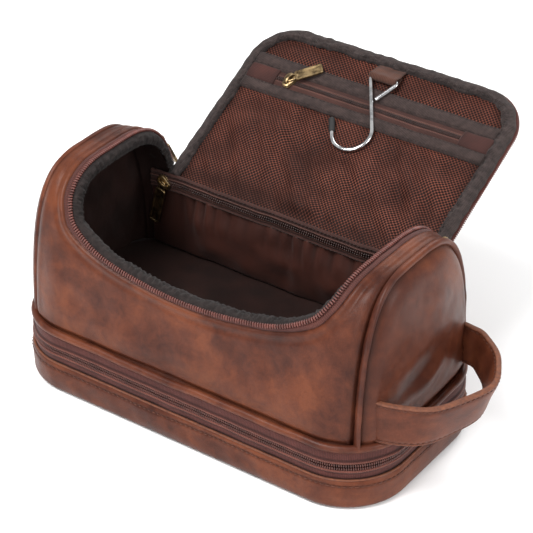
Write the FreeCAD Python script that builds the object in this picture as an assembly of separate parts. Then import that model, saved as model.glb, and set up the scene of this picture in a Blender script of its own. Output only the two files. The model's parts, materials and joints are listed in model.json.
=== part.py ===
"""Hanging toiletry bag: a zip-open lower tray, an arched main compartment and a jointed lid with a hook.

Frame: +X towards the handle, -Y towards the front, +Z up. The origin is the centre of the tray's underside.
All sizes are in millimetres. The lid is drawn open, as it rests.
"""

import FreeCAD
import Part
import math
import os

Vector = FreeCAD.Vector

# Driving dimensions
TRAY_HALF_LENGTH = 130.0
TRAY_HALF_WIDTH = 67.5
TRAY_CORNER = 40.0
TRAY_WALL = 3.6
TRAY_TOP = 20.3
BASE_THICKNESS = 2.0
ZIP_SPLIT = 29.0
ZIP_HALF_GAP = 0.4
COIL = 1.2
TAPE = 1.0
BODY_INSET = 3.7
BODY_BOTTOM = 38.0
BODY_TOP = 135.1
LEATHER = 2.0
END_PIPING_X = 114.0
END_ROUNDING = 15.0
PIPING_BEAD = 1.8
ARCH_FOOT = -7.56
ARCH_POWER = 3.58
OPENING_HALF = 96.2
OPENING_FRONT_LOW = 93.4
OPENING_BACK = 97.0
POCKET_Y = 50.0
POCKET_HALF = 104.0
POCKET_ZIP_Z = 88.5
LID_HINGE_Y = 55.0
LID_HINGE_Z = 97.0
LID_SLOPE = 28.0
LID_HALF = 93.0
LID_LENGTH = 119.0
LID_CORNER = 28.0
LID_BEND_1 = 24.0
LID_BEND_2 = 105.5
HOOK_WIRE_R = 1.25
HOOK_BOW = 12.4
HOOK_S = 101.8
HOOK_H = 3.2
HANDLE_LOW = 43.5
HANDLE_HIGH = 70.5
HANDLE_PIVOT_X = 126.5
STRAP = 1.3

BODY_HALF_LENGTH = TRAY_HALF_LENGTH - BODY_INSET
BODY_HALF_WIDTH = TRAY_HALF_WIDTH - BODY_INSET
BODY_CORNER = TRAY_CORNER - BODY_INSET
FAR = 400.0

parts = {}


def box(x0, x1, y0, y1, z0, z1):
    return Part.makeBox(x1 - x0, y1 - y0, z1 - z0, Vector(x0, y0, z0))


def face_from(edges):
    return Part.Face(Part.Wire(edges))


def line(p, q):
    return Part.LineSegment(p, q).toShape()


def arc(p, q, r):
    return Part.Arc(p, q, r).toShape()


def rounded_rectangle(half_x, half_y, radius, z):
    """Face in the XY plane at height z."""
    edges = []
    corners = [(1, -1, -90), (1, 1, 0), (-1, 1, 90), (-1, -1, 180)]
    ends = []
    for sx, sy, start in corners:
        centre = Vector(sx * (half_x - radius), sy * (half_y - radius), z)
        three = []
        for turn in (0, 45, 90):
            angle = math.radians(start + turn)
            three.append(centre + Vector(radius * math.cos(angle), radius * math.sin(angle), 0))
        edges.append(arc(*three))
        ends.append((three[0], three[2]))
    for i in range(4):
        edges.append(line(ends[i][1], ends[(i + 1) % 4][0]))
    return face_from(Part.__sortEdges__(edges))


def plan_block(half_x, half_y, radius, z0, z1):
    return rounded_rectangle(half_x, half_y, radius, z0).extrude(Vector(0, 0, z1 - z0))


def tray_block(inset, z0, z1):
    return plan_block(TRAY_HALF_LENGTH - inset, TRAY_HALF_WIDTH - inset, TRAY_CORNER - inset, z0, z1)


def tray_ring(outer, inner, z0, z1):
    return tray_block(outer, z0, z1).cut(tray_block(inner, z0 - 1, z1 + 1))


def arch_half_width(z, inset):
    """Half width of the arched section at height z."""
    t = min(1.0, max(0.0, (z - ARCH_FOOT) / (BODY_TOP - inset - ARCH_FOOT)))
    return (BODY_HALF_WIDTH - inset) * (1 - t**ARCH_POWER) ** (1 / ARCH_POWER)


def arch_prism(inset, z0):
    """Arched section as five tangent-like arcs, extruded along X."""
    half = BODY_HALF_LENGTH + 5

    def at(z, side):
        return Vector(-half, side * arch_half_width(z, inset), z)

    top = Vector(-half, 0, BODY_TOP - inset)
    edges = [
        arc(at(z0, 1), at(62, 1), at(86, 1)),
        arc(at(86, 1), at(111, 1), at(127 - inset, 1)),
        arc(at(127 - inset, 1), top, at(127 - inset, -1)),
        arc(at(127 - inset, -1), at(111, -1), at(86, -1)),
        arc(at(86, -1), at(62, -1), at(z0, -1)),
        line(at(z0, -1), at(z0, 1)),
    ]
    return face_from(edges).extrude(Vector(2 * half, 0, 0))


def end_rounding_prism(inset, z0):
    """Side outline with rounded upper ends, extruded along Y."""
    x = BODY_HALF_LENGTH - inset
    z = BODY_TOP - inset + 0.5
    r = END_ROUNDING
    y = -FAR / 2
    bow = r * (1 - math.cos(math.radians(45)))
    edges = [
        line(Vector(-x, y, z0), Vector(-x, y, z - r)),
        arc(Vector(-x, y, z - r), Vector(-x + bow, y, z - bow), Vector(-x + r, y, z)),
        line(Vector(-x + r, y, z), Vector(x - r, y, z)),
        arc(Vector(x - r, y, z), Vector(x - bow, y, z - bow), Vector(x, y, z - r)),
        line(Vector(x, y, z - r), Vector(x, y, z0)),
        line(Vector(x, y, z0), Vector(-x, y, z0)),
    ]
    return face_from(edges).extrude(Vector(0, FAR, 0))


def body_block(inset, z0=BODY_BOTTOM):
    """Solid inside the main compartment's outer surface, moved in by inset."""
    plan = plan_block(
        BODY_HALF_LENGTH - inset, BODY_HALF_WIDTH - inset, BODY_CORNER - inset, z0, BODY_TOP + 10
    )
    return plan.common(arch_prism(inset, z0)).common(end_rounding_prism(inset, z0))


def body_layer(outer, inner, z0=BODY_BOTTOM):
    return body_block(outer, z0).cut(body_block(inner, z0 - 1))


def opening_block(grow):
    """Space above the opening's rim: a shallow bowl in front and a square mouth behind."""
    half = OPENING_HALF + grow
    low = OPENING_FRONT_LOW - grow
    top = BODY_TOP + 20
    y = -FAR / 2

    def at(x, z):
        return Vector(x, y, z)

    edges = [
        line(at(half, top), at(half, low + 39)),
        arc(at(half, low + 39), at(half - 5.7, low + 27), at(half - 15, low + 18)),
        arc(at(half - 15, low + 18), at(half - 34.6, low + 8.2), at(34, low + 2.4)),
        arc(at(34, low + 2.4), at(0, low), at(-34, low + 2.4)),
        arc(at(-34, low + 2.4), at(-half + 34.6, low + 8.2), at(-half + 15, low + 18)),
        arc(at(-half + 15, low + 18), at(-half + 5.7, low + 27), at(-half, low + 39)),
        line(at(-half, low + 39), at(-half, top)),
        line(at(-half, top), at(half, top)),
    ]
    front = face_from(edges).extrude(Vector(0, FAR / 2, 0))
    back = box(-half, half, 0, FAR / 2, OPENING_BACK - grow, top)
    return front.fuse(back)


def lid_outline(inset, h0, h1):
    """Lid plan in its own frame: X across, Y away from the hinge, Z towards the inner face."""
    x = LID_HALF - inset
    end = LID_LENGTH - inset
    r = LID_CORNER - inset
    bow = r * (1 - math.cos(math.radians(45)))
    edges = [
        line(Vector(-x, 0, h0), Vector(x, 0, h0)),
        line(Vector(x, 0, h0), Vector(x, end - r, h0)),
        arc(Vector(x, end - r, h0), Vector(x - bow, end - bow, h0), Vector(x - r, end, h0)),
        line(Vector(x - r, end, h0), Vector(-x + r, end, h0)),
        arc(Vector(-x + r, end, h0), Vector(-x + bow, end - bow, h0), Vector(-x, end - r, h0)),
        line(Vector(-x, end - r, h0), Vector(-x, 0, h0)),
    ]
    return face_from(edges).extrude(Vector(0, 0, h1 - h0))


def strip(s0, s1):
    return box(-FAR / 2, FAR / 2, s0, s1, -50, 50)


def lid_place(shape):
    """Carries a shape from the lid's own frame to the open lid."""
    placed = shape.copy()
    placed.rotate(Vector(0, 0, 0), Vector(1, 0, 0), LID_SLOPE)
    placed.translate(Vector(0, LID_HINGE_Y, LID_HINGE_Z))
    return placed


def tube_path(points, radii):
    """Straight runs joined by tangent arcs; radii has one value per inner point."""
    edges = []
    start = points[0]
    for i, radius in enumerate(radii):
        before, corner, after = points[i], points[i + 1], points[i + 2]
        u = (before - corner).normalize()
        v = (after - corner).normalize()
        half = u.getAngle(v) / 2
        reach = radius / math.tan(half)
        p = corner + u * reach
        q = corner + v * reach
        middle = (u + v).normalize()
        centre = corner + middle * (radius / math.sin(half))
        edges.append(line(start, p))
        edges.append(arc(p, centre - middle * radius, q))
        start = q
    edges.append(line(start, points[-1]))
    return Part.Wire(edges)


def oriented(shape, origin, x_dir, z_dir):
    """Places a shape drawn at the origin so that its X and Z follow the two directions."""
    x = Vector(*x_dir).normalize()
    z = Vector(*z_dir).normalize()
    y = z.cross(x)
    matrix = FreeCAD.Matrix(
        x.x, y.x, z.x, origin[0], x.y, y.y, z.y, origin[1], x.z, y.z, z.z, origin[2], 0, 0, 0, 1
    )
    return shape.transformGeometry(matrix)


# Sliders and pulls: drawn about the pull's pin, with the blade along +X and the tape at -Z
PIN_R = 1.0
PIN_ABOVE_TAPE = 2.6
BLADE = 1.2
BLADE_WIDTH = 7.2


def slider_shape(swivel=0.0):
    plate = box(-5, 5, -3.9, 3.9, -PIN_ABOVE_TAPE, -1.2)
    plate.rotate(Vector(0, 0, 0), Vector(0, 0, 1), swivel)
    lugs = box(-1.5, 1.5, 2.1, 3.1, -1.2, 0.9).fuse(box(-1.5, 1.5, -3.1, -2.1, -1.2, 0.9))
    return plate.fuse(lugs).removeSplitter()


def pull_shape(length):
    pin = Part.makeCylinder(PIN_R, 3.6, Vector(0, -1.8, 0), Vector(0, 1, 0))
    neck = box(0, 6, -1.6, 1.6, -BLADE / 2, BLADE / 2)
    blade = box(5, length, -BLADE_WIDTH / 2, BLADE_WIDTH / 2, -BLADE / 2, BLADE / 2)
    return pin.fuse(neck).fuse(blade).removeSplitter()


def make_tray():
    parts["base_panel"] = tray_block(0.6, 0, BASE_THICKNESS)
    parts["base_board"] = tray_block(TRAY_WALL + 0.2, BASE_THICKNESS, BASE_THICKNESS + 1.5)
    parts["tray_wall"] = tray_ring(0, TRAY_WALL, BASE_THICKNESS, TRAY_TOP)
    floor_z = BASE_THICKNESS + 1.6
    lining_top = 15.0
    lining = tray_block(TRAY_WALL, floor_z, lining_top)
    parts["tray_lining"] = lining.cut(tray_block(TRAY_WALL + 0.6, floor_z + 0.6, lining_top + 1))
    coil_top = ZIP_SPLIT - ZIP_HALF_GAP
    back = box(-82, 82, 40, 80, 0, 80)
    parts["lower_zip_tape"] = tray_ring(TRAY_WALL, TRAY_WALL + TAPE, lining_top + 0.1, coil_top - COIL).cut(back)
    parts["lower_zip_coil"] = tray_ring(2.7, TRAY_WALL + TAPE, coil_top - COIL, coil_top).cut(back)
    strip_back = box(-81, 81, 40, 80, 0, 80)
    parts["hinge_strip_lower"] = tray_ring(
        TRAY_WALL, TRAY_WALL + TAPE, lining_top + 0.1, ZIP_SPLIT - 0.5
    ).common(strip_back)
    origin = (-TRAY_HALF_LENGTH + 2.7 - 0.9 - PIN_ABOVE_TAPE, 28, ZIP_SPLIT)
    parts["bottom_slider"] = oriented(slider_shape(90), origin, (0, 0, -1), (-1, 0, 0))
    parts["bottom_pull"] = oriented(pull_shape(22), origin, (0, 0, -1), (-1, 0, 0))


def make_body():
    coil_low = ZIP_SPLIT + ZIP_HALF_GAP
    back = box(-82, 82, 40, 80, 0, 80)
    inset = BODY_INSET
    parts["upper_zip_coil"] = tray_ring(2.7, inset + TAPE, coil_low, coil_low + COIL).cut(back)
    parts["upper_zip_tape"] = tray_ring(inset, inset + TAPE, coil_low + COIL, BODY_BOTTOM - 0.05).cut(back)
    strip_back = box(-81, 81, 40, 80, 0, 80)
    parts["hinge_strip_upper"] = tray_ring(inset, inset + TAPE, ZIP_SPLIT + 0.5, BODY_BOTTOM - 0.05).common(
        strip_back
    )
    bead = plan_block(BODY_HALF_LENGTH + 2.4, BODY_HALF_WIDTH + 2.4, BODY_CORNER + 2.4, 36, 40)
    hole = plan_block(BODY_HALF_LENGTH + 0.05, BODY_HALF_WIDTH + 0.05, BODY_CORNER, 35, 41)
    parts["bottom_piping"] = bead.cut(hole)
    parts["floor_panel"] = plan_block(
        BODY_HALF_LENGTH - 4.6, BODY_HALF_WIDTH - 4.6, BODY_CORNER - 4.6, BODY_BOTTOM + 0.1, BODY_BOTTOM + 1.6
    )

    shell = body_layer(0, LEATHER)
    gap = PIPING_BEAD / 2
    wrap = box(-END_PIPING_X + gap, END_PIPING_X - gap, -80, 80, 0, 160)
    back_zone = box(-OPENING_HALF, OPENING_HALF, 20, 80, 0, OPENING_BACK)
    panels = shell.common(wrap).cut(opening_block(0))
    parts["main_panel"] = panels.cut(back_zone)
    parts["back_panel"] = panels.common(back_zone)
    piping = body_layer(-PIPING_BEAD, LEATHER)
    for side, name in ((-1, "left"), (1, "right")):
        x = sorted((side * (END_PIPING_X + gap), side * FAR / 2))
        parts[name + "_end_panel"] = shell.common(box(x[0], x[1], -80, 80, 0, 160))
        x = sorted((side * (END_PIPING_X - gap), side * (END_PIPING_X + gap)))
        bead = piping.common(box(x[0], x[1], -80, 80, 40.05, 160))
        parts[name + "_end_piping"] = bead

    front_of_pocket = box(-FAR / 2, FAR / 2, -80, POCKET_Y, 0, 200)
    tape = body_layer(2.05, 2.85).common(opening_block(6)).cut(opening_block(-1.2))
    parts["opening_zip_tape"] = tape.common(front_of_pocket)
    coil = body_layer(0.9, 2.0).common(opening_block(-0.1)).cut(opening_block(-1.2))
    parts["opening_coil"] = coil.common(front_of_pocket)
    binding = body_layer(2.9, 3.7).common(opening_block(9)).cut(opening_block(0))
    parts["opening_binding"] = binding.common(front_of_pocket)
    lining = body_layer(3.8, 4.4, BODY_BOTTOM + 2).cut(opening_block(9.2))
    parts["main_lining"] = lining

    y = POCKET_Y
    parts["back_pocket_panel"] = box(-POCKET_HALF, POCKET_HALF, y - 1.5, y, 41, POCKET_ZIP_Z - 5.5)
    parts["back_pocket_zip_tape"] = box(
        -POCKET_HALF, POCKET_HALF, y - TAPE, y, POCKET_ZIP_Z - 5.5, POCKET_ZIP_Z + 5.5
    )
    parts["back_pocket_coil"] = box(
        -POCKET_HALF + 4, POCKET_HALF - 4, y - TAPE - 1.1, y - TAPE, POCKET_ZIP_Z - 1.2, POCKET_ZIP_Z + 1.2
    )
    origin = (-95, y - TAPE - 1.2 - PIN_ABOVE_TAPE, POCKET_ZIP_Z)
    lean = (-0.25, 0, -0.97)
    parts["back_pocket_slider"] = oriented(slider_shape(90), origin, lean, (0, -1, 0))
    parts["back_pocket_pull"] = oriented(pull_shape(30), origin, lean, (0, -1, 0))

    surface_y, surface_z = 50.5, 112.2
    normal = (0, 0.871, 0.49)
    lift = PIN_ABOVE_TAPE + 0.9
    for side, name in ((-1, "left"), (1, "right")):
        origin = (side * 101.0, surface_y + lift * normal[1], surface_z + lift * normal[2])
        down = (0, 0.49, -0.871)
        parts["main_slider_" + name] = oriented(slider_shape(), origin, down, normal)
        parts["main_pull_" + name] = oriented(pull_shape(24), origin, down, normal)


def strap_outline(inset):
    """Three arcs of the handle's loop, moved in towards its middle by inset."""
    middle = Vector(118, 0, HANDLE_LOW)
    ring = [(129.0, -42.6), (147, -34), (158, -16), (164.6, 3), (159, 20), (147, 34.5), (129.0, 43.0)]
    points = []
    for x, y in ring:
        arm = Vector(x, y, HANDLE_LOW) - middle
        points.append(middle + arm * (1 - inset / arm.Length))
    return points


def strap_layer(outer, inner):
    a = strap_outline(outer)
    b = strap_outline(inner)
    edges = [
        arc(a[0], a[1], a[2]),
        arc(a[2], a[3], a[4]),
        arc(a[4], a[5], a[6]),
        line(a[6], b[6]),
        arc(b[6], b[5], b[4]),
        arc(b[4], b[3], b[2]),
        arc(b[2], b[1], b[0]),
        line(b[0], a[0]),
    ]
    return face_from(edges).extrude(Vector(0, 0, HANDLE_HIGH - HANDLE_LOW))


def make_handle():
    parts["handle_strap"] = strap_layer(0, STRAP)
    parts["handle_backing"] = strap_layer(STRAP, 2 * STRAP)
    tabs = box(117, HANDLE_PIVOT_X - 2.5, -45, -41.5, HANDLE_LOW, HANDLE_HIGH)
    tabs = tabs.fuse(box(117, HANDLE_PIVOT_X - 2.5, 41.5, 45, HANDLE_LOW, HANDLE_HIGH))
    parts["handle_end_tabs"] = tabs.cut(body_block(0)).cut(parts["right_end_piping"])


# Lid layers, as heights above the inner face
LID_LEATHER = (-5.0, -3.0)
LID_TAPE = (-3.0, -2.2)
LID_COIL = (-2.2, -1.1)
LID_PADDING = (-3.0, -1.05)
LID_FACE = (-1.0, 0.0)
BINDING_TOP = 0.8
BINDING_WIDTH = 9.0
WEBBING_LOW = (68.5, 75.5)
WEBBING_HIGH = (86.5, 95.0)
LID_SEGMENTS = {
    "back": (4.0, LID_BEND_1 - 0.7),
    "mid": (LID_BEND_1 + 0.7, LID_BEND_2 - 1.0),
    "front": (LID_BEND_2 + 1.0, LID_LENGTH + 5),
}


def make_lid():
    leather = lid_outline(-0.6, *LID_LEATHER)
    tape = lid_outline(-1.1, *LID_TAPE).cut(lid_outline(6, -10, 10))
    coil = lid_outline(-1.1, *LID_COIL).cut(lid_outline(0.3, -10, 10))
    padding = lid_outline(6.2, *LID_PADDING)
    binding = lid_outline(0, LID_FACE[0], BINDING_TOP).cut(lid_outline(BINDING_WIDTH, -10, 10))
    mesh = lid_outline(BINDING_WIDTH + 0.05, *LID_FACE)
    zip_zone = strip(WEBBING_LOW[1], WEBBING_HIGH[0])
    for name, (s0, s1) in LID_SEGMENTS.items():
        zone = strip(s0, s1)
        layers = {"leather": leather, "binding": binding, "mesh": mesh.cut(zip_zone)}
        if name != "back":
            layers["zip_tape"] = tape
            layers["coil"] = coil
        if name == "mid":
            layers["padding"] = padding
        for layer, solid in layers.items():
            parts["lid_" + name + "_" + layer] = lid_place(solid.common(zone))

    half = LID_HALF - BINDING_WIDTH - 0.1
    patch_half = 68.0
    band = lid_outline(BINDING_WIDTH + 0.05, *LID_FACE).common(zip_zone)
    middle = box(-patch_half, patch_half, 0, 200, -10, 10)
    parts["lid_pocket_zip_tape"] = lid_place(band.common(middle))
    parts["lid_pocket_end_patches"] = lid_place(band.cut(middle))
    inner = lid_outline(BINDING_WIDTH + 0.1, 0.0, 1.0)
    for name, (s0, s1) in (("lower", WEBBING_LOW), ("upper", WEBBING_HIGH)):
        parts["lid_webbing_" + name] = lid_place(inner.common(box(-half, half, s0, s1, 0, 1)))
    coil_s = (WEBBING_LOW[1] + WEBBING_HIGH[0]) / 2
    parts["lid_pocket_coil"] = lid_place(box(-66, 66, coil_s - 1.2, coil_s + 1.2, 0, 1.1))
    origin = (-56.5, coil_s, 1.2 + PIN_ABOVE_TAPE)
    lie = (0.753, 0.658, 0)
    swivel = -math.degrees(math.atan2(lie[1], lie[0]))
    slider = oriented(slider_shape(swivel), origin, lie, (0, 0, 1))
    pull = oriented(pull_shape(22), origin, lie, (0, 0, 1))
    parts["lid_pocket_slider"] = lid_place(slider)
    parts["lid_pocket_pull"] = lid_place(pull)


def hook_point(along, across):
    """Point in the hook's plane: along its shank and across towards its open side."""
    shank = (0.517, -0.856)
    side = (-0.856, -0.517)
    x = -8.6 + along * shank[0] + across * side[0]
    s = HOOK_S + along * shank[1] + across * side[1]
    return Vector(x, s, HOOK_H)


def make_hook():
    shank = 41.1
    tip_run = 12.0
    bar = 20.4
    free_end = Vector(3.8, HOOK_S - 15.6, HOOK_H)
    corner_b = Vector(-8.6 + bar, HOOK_S, HOOK_H)
    corner_a = hook_point(0, 0)
    head = tube_path([free_end, corner_b, corner_a, hook_point(shank, 0)], [1.6, 1.6])
    bow = arc(hook_point(shank, 0), hook_point(shank + HOOK_BOW, HOOK_BOW), hook_point(shank, 2 * HOOK_BOW))
    tip = line(hook_point(shank, 2 * HOOK_BOW), hook_point(shank - tip_run, 2 * HOOK_BOW))
    path = Part.Wire(head.Edges + [bow, tip])
    start = (corner_b - free_end).normalize()
    section = Part.Wire(Part.Circle(free_end, start, HOOK_WIRE_R).toShape())
    wire = path.makePipeShell([section], True, True)
    run = (hook_point(0, 0) - hook_point(10, 0)).normalize()
    cap_start = hook_point(shank - tip_run + 8.5, 2 * HOOK_BOW)
    cap = Part.makeCylinder(HOOK_WIRE_R + 0.7, 10, cap_start, run)
    core = Part.makeCylinder(HOOK_WIRE_R + 0.02, 8.6, cap_start - run * 0.05, run)
    tilt = math.degrees(math.atan(1.3 / 53))
    loop_half = 7.1
    middle_x = -8.6 + bar / 2
    for name, shape in (("hook_wire", wire), ("hook_tip_cap", cap.cut(core))):
        shape.rotate(Vector(0, HOOK_S, HOOK_H), Vector(1, 0, 0), tilt)
        parts[name] = lid_place(shape)
    across = Vector(1, 0, 0)
    start = Vector(middle_x - loop_half, HOOK_S, HOOK_H)
    sleeve = Part.makeCylinder(HOOK_WIRE_R + 1.2, 2 * loop_half, start, across)
    root = box(middle_x - loop_half, middle_x + loop_half, HOOK_S - 1.5, HOOK_S + 2.4, 0.05, HOOK_H)
    bore = Part.makeCylinder(HOOK_WIRE_R + 0.35, FAR, start - across * 50, across)
    parts["hook_loop"] = lid_place(sleeve.fuse(root).cut(bore).removeSplitter())


make_tray()
make_body()
make_handle()
make_lid()
make_hook()

os.makedirs("parts", exist_ok=True)
for node, shape in parts.items():
    if not shape.isValid() or shape.Volume <= 0 or not shape.Solids:
        print("bad solid", node, shape.Volume, len(shape.Solids))
    solid = shape.Solids[0] if len(shape.Solids) == 1 else Part.makeCompound(shape.Solids)
    solid.exportStep("parts/" + node + ".step")
print(len(parts), "sub-parts")
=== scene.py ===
"""Looks of the hanging toiletry bag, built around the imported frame. Lengths are in mm until make_mesh."""

import json
import math

import bpy
import numpy as np
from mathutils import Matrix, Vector


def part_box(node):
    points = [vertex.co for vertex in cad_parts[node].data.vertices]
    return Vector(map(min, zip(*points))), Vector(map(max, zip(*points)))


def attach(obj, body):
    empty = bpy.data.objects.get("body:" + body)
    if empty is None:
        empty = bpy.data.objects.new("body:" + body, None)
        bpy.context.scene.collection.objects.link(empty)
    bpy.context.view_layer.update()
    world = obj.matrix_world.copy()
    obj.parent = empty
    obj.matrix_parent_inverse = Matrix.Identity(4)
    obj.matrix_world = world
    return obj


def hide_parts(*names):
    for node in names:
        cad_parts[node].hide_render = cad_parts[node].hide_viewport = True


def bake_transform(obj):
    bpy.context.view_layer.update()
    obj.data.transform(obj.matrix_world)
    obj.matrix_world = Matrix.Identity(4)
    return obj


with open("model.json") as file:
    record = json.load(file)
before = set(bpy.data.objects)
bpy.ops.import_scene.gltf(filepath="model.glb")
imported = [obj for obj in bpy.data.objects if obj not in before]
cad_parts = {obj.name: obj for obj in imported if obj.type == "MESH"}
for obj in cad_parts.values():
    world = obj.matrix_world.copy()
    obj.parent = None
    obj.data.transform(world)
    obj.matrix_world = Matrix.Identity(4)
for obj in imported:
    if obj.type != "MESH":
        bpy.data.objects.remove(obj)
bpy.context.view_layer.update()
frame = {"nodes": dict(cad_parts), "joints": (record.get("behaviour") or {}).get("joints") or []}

MM = 0.001

# ---------------------------------------------------------------- mesh helpers


def unit(v):
    return v / np.maximum(np.linalg.norm(v, axis=-1, keepdims=True), 1e-12)


def wobble(points, length, seed, waves=14):
    """Smooth repeatable unevenness, about -1 to 1, with features about length long."""
    draw = np.random.RandomState(seed)
    total = np.zeros(points.shape[:-1])
    for _ in range(waves):
        k = draw.normal(size=points.shape[-1])
        k *= 2 * math.pi / (length * draw.uniform(0.6, 1.6)) / np.linalg.norm(k)
        total += np.sin(points @ k + draw.uniform(0, 2 * math.pi))
    return total / math.sqrt(waves)


def wobble_of(length, seed, *values, waves=14):
    """The same unevenness at points given as separate coordinates."""
    return wobble(np.stack(np.broadcast_arrays(*values), -1), length, seed, waves)


def bell(d, width, centre=0.0):
    return np.exp(-(((d - centre) / width) ** 2))


def ramp(d, low, high):
    t = np.clip((d - low) / (high - low), 0, 1)
    return t * t * (3 - 2 * t)


def arc_length(points, axis=0):
    steps = np.linalg.norm(np.diff(points, axis=axis), axis=-1)
    start = np.zeros_like(np.take(steps, [0], axis=axis))
    return np.concatenate([start, np.cumsum(steps, axis=axis)], axis=axis)


def resample(points, count, closed=False):
    p = np.asarray(points, float)
    if closed:
        p = np.vstack([p, p[:1]])
    d = arc_length(p)
    t = np.linspace(0, d[-1], count + int(closed))
    out = np.stack([np.interp(t, d, p[:, k]) for k in range(p.shape[1])], 1)
    return out[:-1] if closed else out


def spline(points, steps=14, closed=False):
    """Catmull-Rom curve through the points."""
    p = np.asarray(points, float)
    q = np.vstack([p[-1:], p, p[:2]]) if closed else np.vstack([2 * p[0] - p[1], p, 2 * p[-1] - p[-2]])
    t = np.linspace(0, 1, steps, endpoint=False)[:, None]
    out = []
    for a, b, c, d in zip(q, q[1:], q[2:], q[3:]):
        bend = (2 * a - 5 * b + 4 * c - d) * t**2 + (3 * b - a - 3 * c + d) * t**3
        out.append(0.5 * (2 * b + (c - a) * t + bend))
    if not closed:
        out.append(p[-1:])
    return np.vstack(out)


def tangents(points, closed=False):
    if closed:
        return unit(np.roll(points, -1, 0) - np.roll(points, 1, 0))
    return unit(np.gradient(points, axis=0))


def make_mesh(name, verts, faces, material=None, uv=None, shade=None, slots=None, materials=()):
    mesh = bpy.data.meshes.new(name)
    mesh.from_pydata((np.asarray(verts, float) * MM).tolist(), [], [list(map(int, f)) for f in faces])
    mesh.polygons.foreach_set("use_smooth", [True] * len(mesh.polygons))
    for m in [material] if material else materials:
        mesh.materials.append(m)
    if slots is not None:
        mesh.polygons.foreach_set("material_index", np.asarray(slots, np.int32))
    if uv is not None:
        layer = mesh.uv_layers.new(name="UVMap")
        layer.data.foreach_set("uv", (np.asarray(uv, float) * 0.1).ravel())
    if shade is not None:
        attribute = mesh.attributes.new("shade", "FLOAT", "POINT")
        attribute.data.foreach_set("value", np.asarray(shade, np.float32).ravel())
    mesh.update()
    piece = bpy.data.objects.new(name, mesh)
    bpy.context.scene.collection.objects.link(piece)
    return piece


def grid_index(m, n, wrap):
    rows, cols = m - 1 + int(wrap[0]), n - 1 + int(wrap[1])
    i, j = np.meshgrid(np.arange(rows), np.arange(cols), indexing="ij")
    corners = ((i, j), (i, j + 1), (i + 1, j + 1), (i + 1, j))
    faces = np.stack([(a % m) * n + b % n for a, b in corners], -1).reshape(-1, 4)
    loose = np.stack([a * (n + int(wrap[1])) + b for a, b in corners], -1).reshape(-1, 4)
    return faces, loose


def grid_normals(points, wrap):
    def slope(axis):
        if wrap[axis]:
            return np.roll(points, -1, axis) - np.roll(points, 1, axis)
        return np.gradient(points, axis=axis)

    return unit(np.cross(slope(0), slope(1)))


def length_uv(p, wrap):
    """UV of a grid from its lengths, with one more row or column where it closes."""
    rows, cols = arc_length(p, 0).mean(1), arc_length(p, 1).max(0)
    last_row = rows[-1] + np.linalg.norm(p[-1] - p[0], axis=-1).mean()
    last_col = cols[-1] + np.linalg.norm(p[:, -1] - p[:, 0], axis=-1).mean()
    rows = np.r_[rows, last_row] if wrap[0] else rows
    cols = np.r_[cols, last_col] if wrap[1] else cols
    return np.stack(np.meshgrid(cols, rows), -1)


def open_edges(faces):
    """The edges that only one face has, with that face and its corner."""
    use = {}
    for f, face in enumerate(faces.tolist()):
        for k in range(4):
            pair = (face[k], face[(k + 1) % 4])
            if (pair[1], pair[0]) in use:
                use.pop((pair[1], pair[0]))
            else:
                use[pair] = (f, k)
    return use


def grid(name, points, material=None, wrap=(False, False), uv=None, thick=0.0, out=None, shade=None,
         slots=None, materials=()):
    """A surface from rows of points. With thick it is a closed sheet, and out says which way is outside.

    Shade is painted shade, 0 to 1, darker in seams, grooves, creases and folds, and slots is the material of
    each row.
    """
    p = np.asarray(points, float)
    m, n = p.shape[:2]
    faces, loose = grid_index(m, n, wrap)
    uv = length_uv(p, wrap) if uv is None else uv
    corner_uv = uv.reshape(-1, 2)[loose.ravel()]
    normals = grid_normals(p, wrap)
    if out is not None and (normals * np.asarray(out)).sum() < 0:
        normals = -normals
    a, b, c = (p.reshape(-1, 3)[faces[:, k]] for k in (0, 1, 3))
    facing = (np.cross(b - a, c - a) * normals.reshape(-1, 3)[faces[:, 0]]).sum() > 0
    if not facing:
        faces = faces[:, ::-1]
        corner_uv = corner_uv.reshape(-1, 4, 2)[:, ::-1].reshape(-1, 2)
    verts = p.reshape(-1, 3)
    values = None if shade is None else np.clip(np.broadcast_to(shade, (m, n)), 0, 1).ravel()
    index = None if slots is None else np.repeat(slots, n - 1 + int(wrap[1]))
    if thick:
        count = len(verts)
        verts = np.vstack([verts, verts - normals.reshape(-1, 3) * thick])
        inner = faces[:, ::-1] + count
        edge_uv = corner_uv.reshape(-1, 4, 2)
        rim, rim_uv = [], []
        use = open_edges(faces)
        for (v0, v1), (f, k) in use.items():
            rim.append((v1, v0, v0 + count, v1 + count))
            u0, u1 = edge_uv[f, k], edge_uv[f, (k + 1) % 4]
            rim_uv += [u1, u0, u0, u1]
        if index is not None:
            index = np.r_[index, index, [index[f] for f, k in use.values()]]
        corner_uv = np.vstack([corner_uv, edge_uv[:, ::-1].reshape(-1, 2), np.array(rim_uv).reshape(-1, 2)])
        faces = faces.tolist() + inner.tolist() + rim
        values = None if values is None else np.r_[values, values]
    return make_mesh(name, verts, faces, material, corner_uv, values, index, materials)


def swept(path, a, b, section):
    """Points of a section, as steps along a and b, carried along a path. It may vary along the path."""
    section = np.asarray(section, float)
    if section.ndim == 2:
        section = section[:, None]
    return path[None] + a[None] * section[..., :1] + b[None] * section[..., 1:]


def capped(points, share):
    """The same rows with both ends drawn in to a share of their width."""
    middle = points.mean(0)
    first, last = (middle[k] + (points[:, k] - middle[k]) * share for k in (0, -1))
    return np.concatenate([first[:, None], points, last[:, None]], 1)


def sweep(name, path, a, b, section, material=None, closed=False, loop=True, **more):
    points = swept(path, a, b, section)
    if loop and not closed:
        points = capped(points, 0.02)
    return grid(name, points, material, wrap=(loop, closed), **more)


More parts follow.
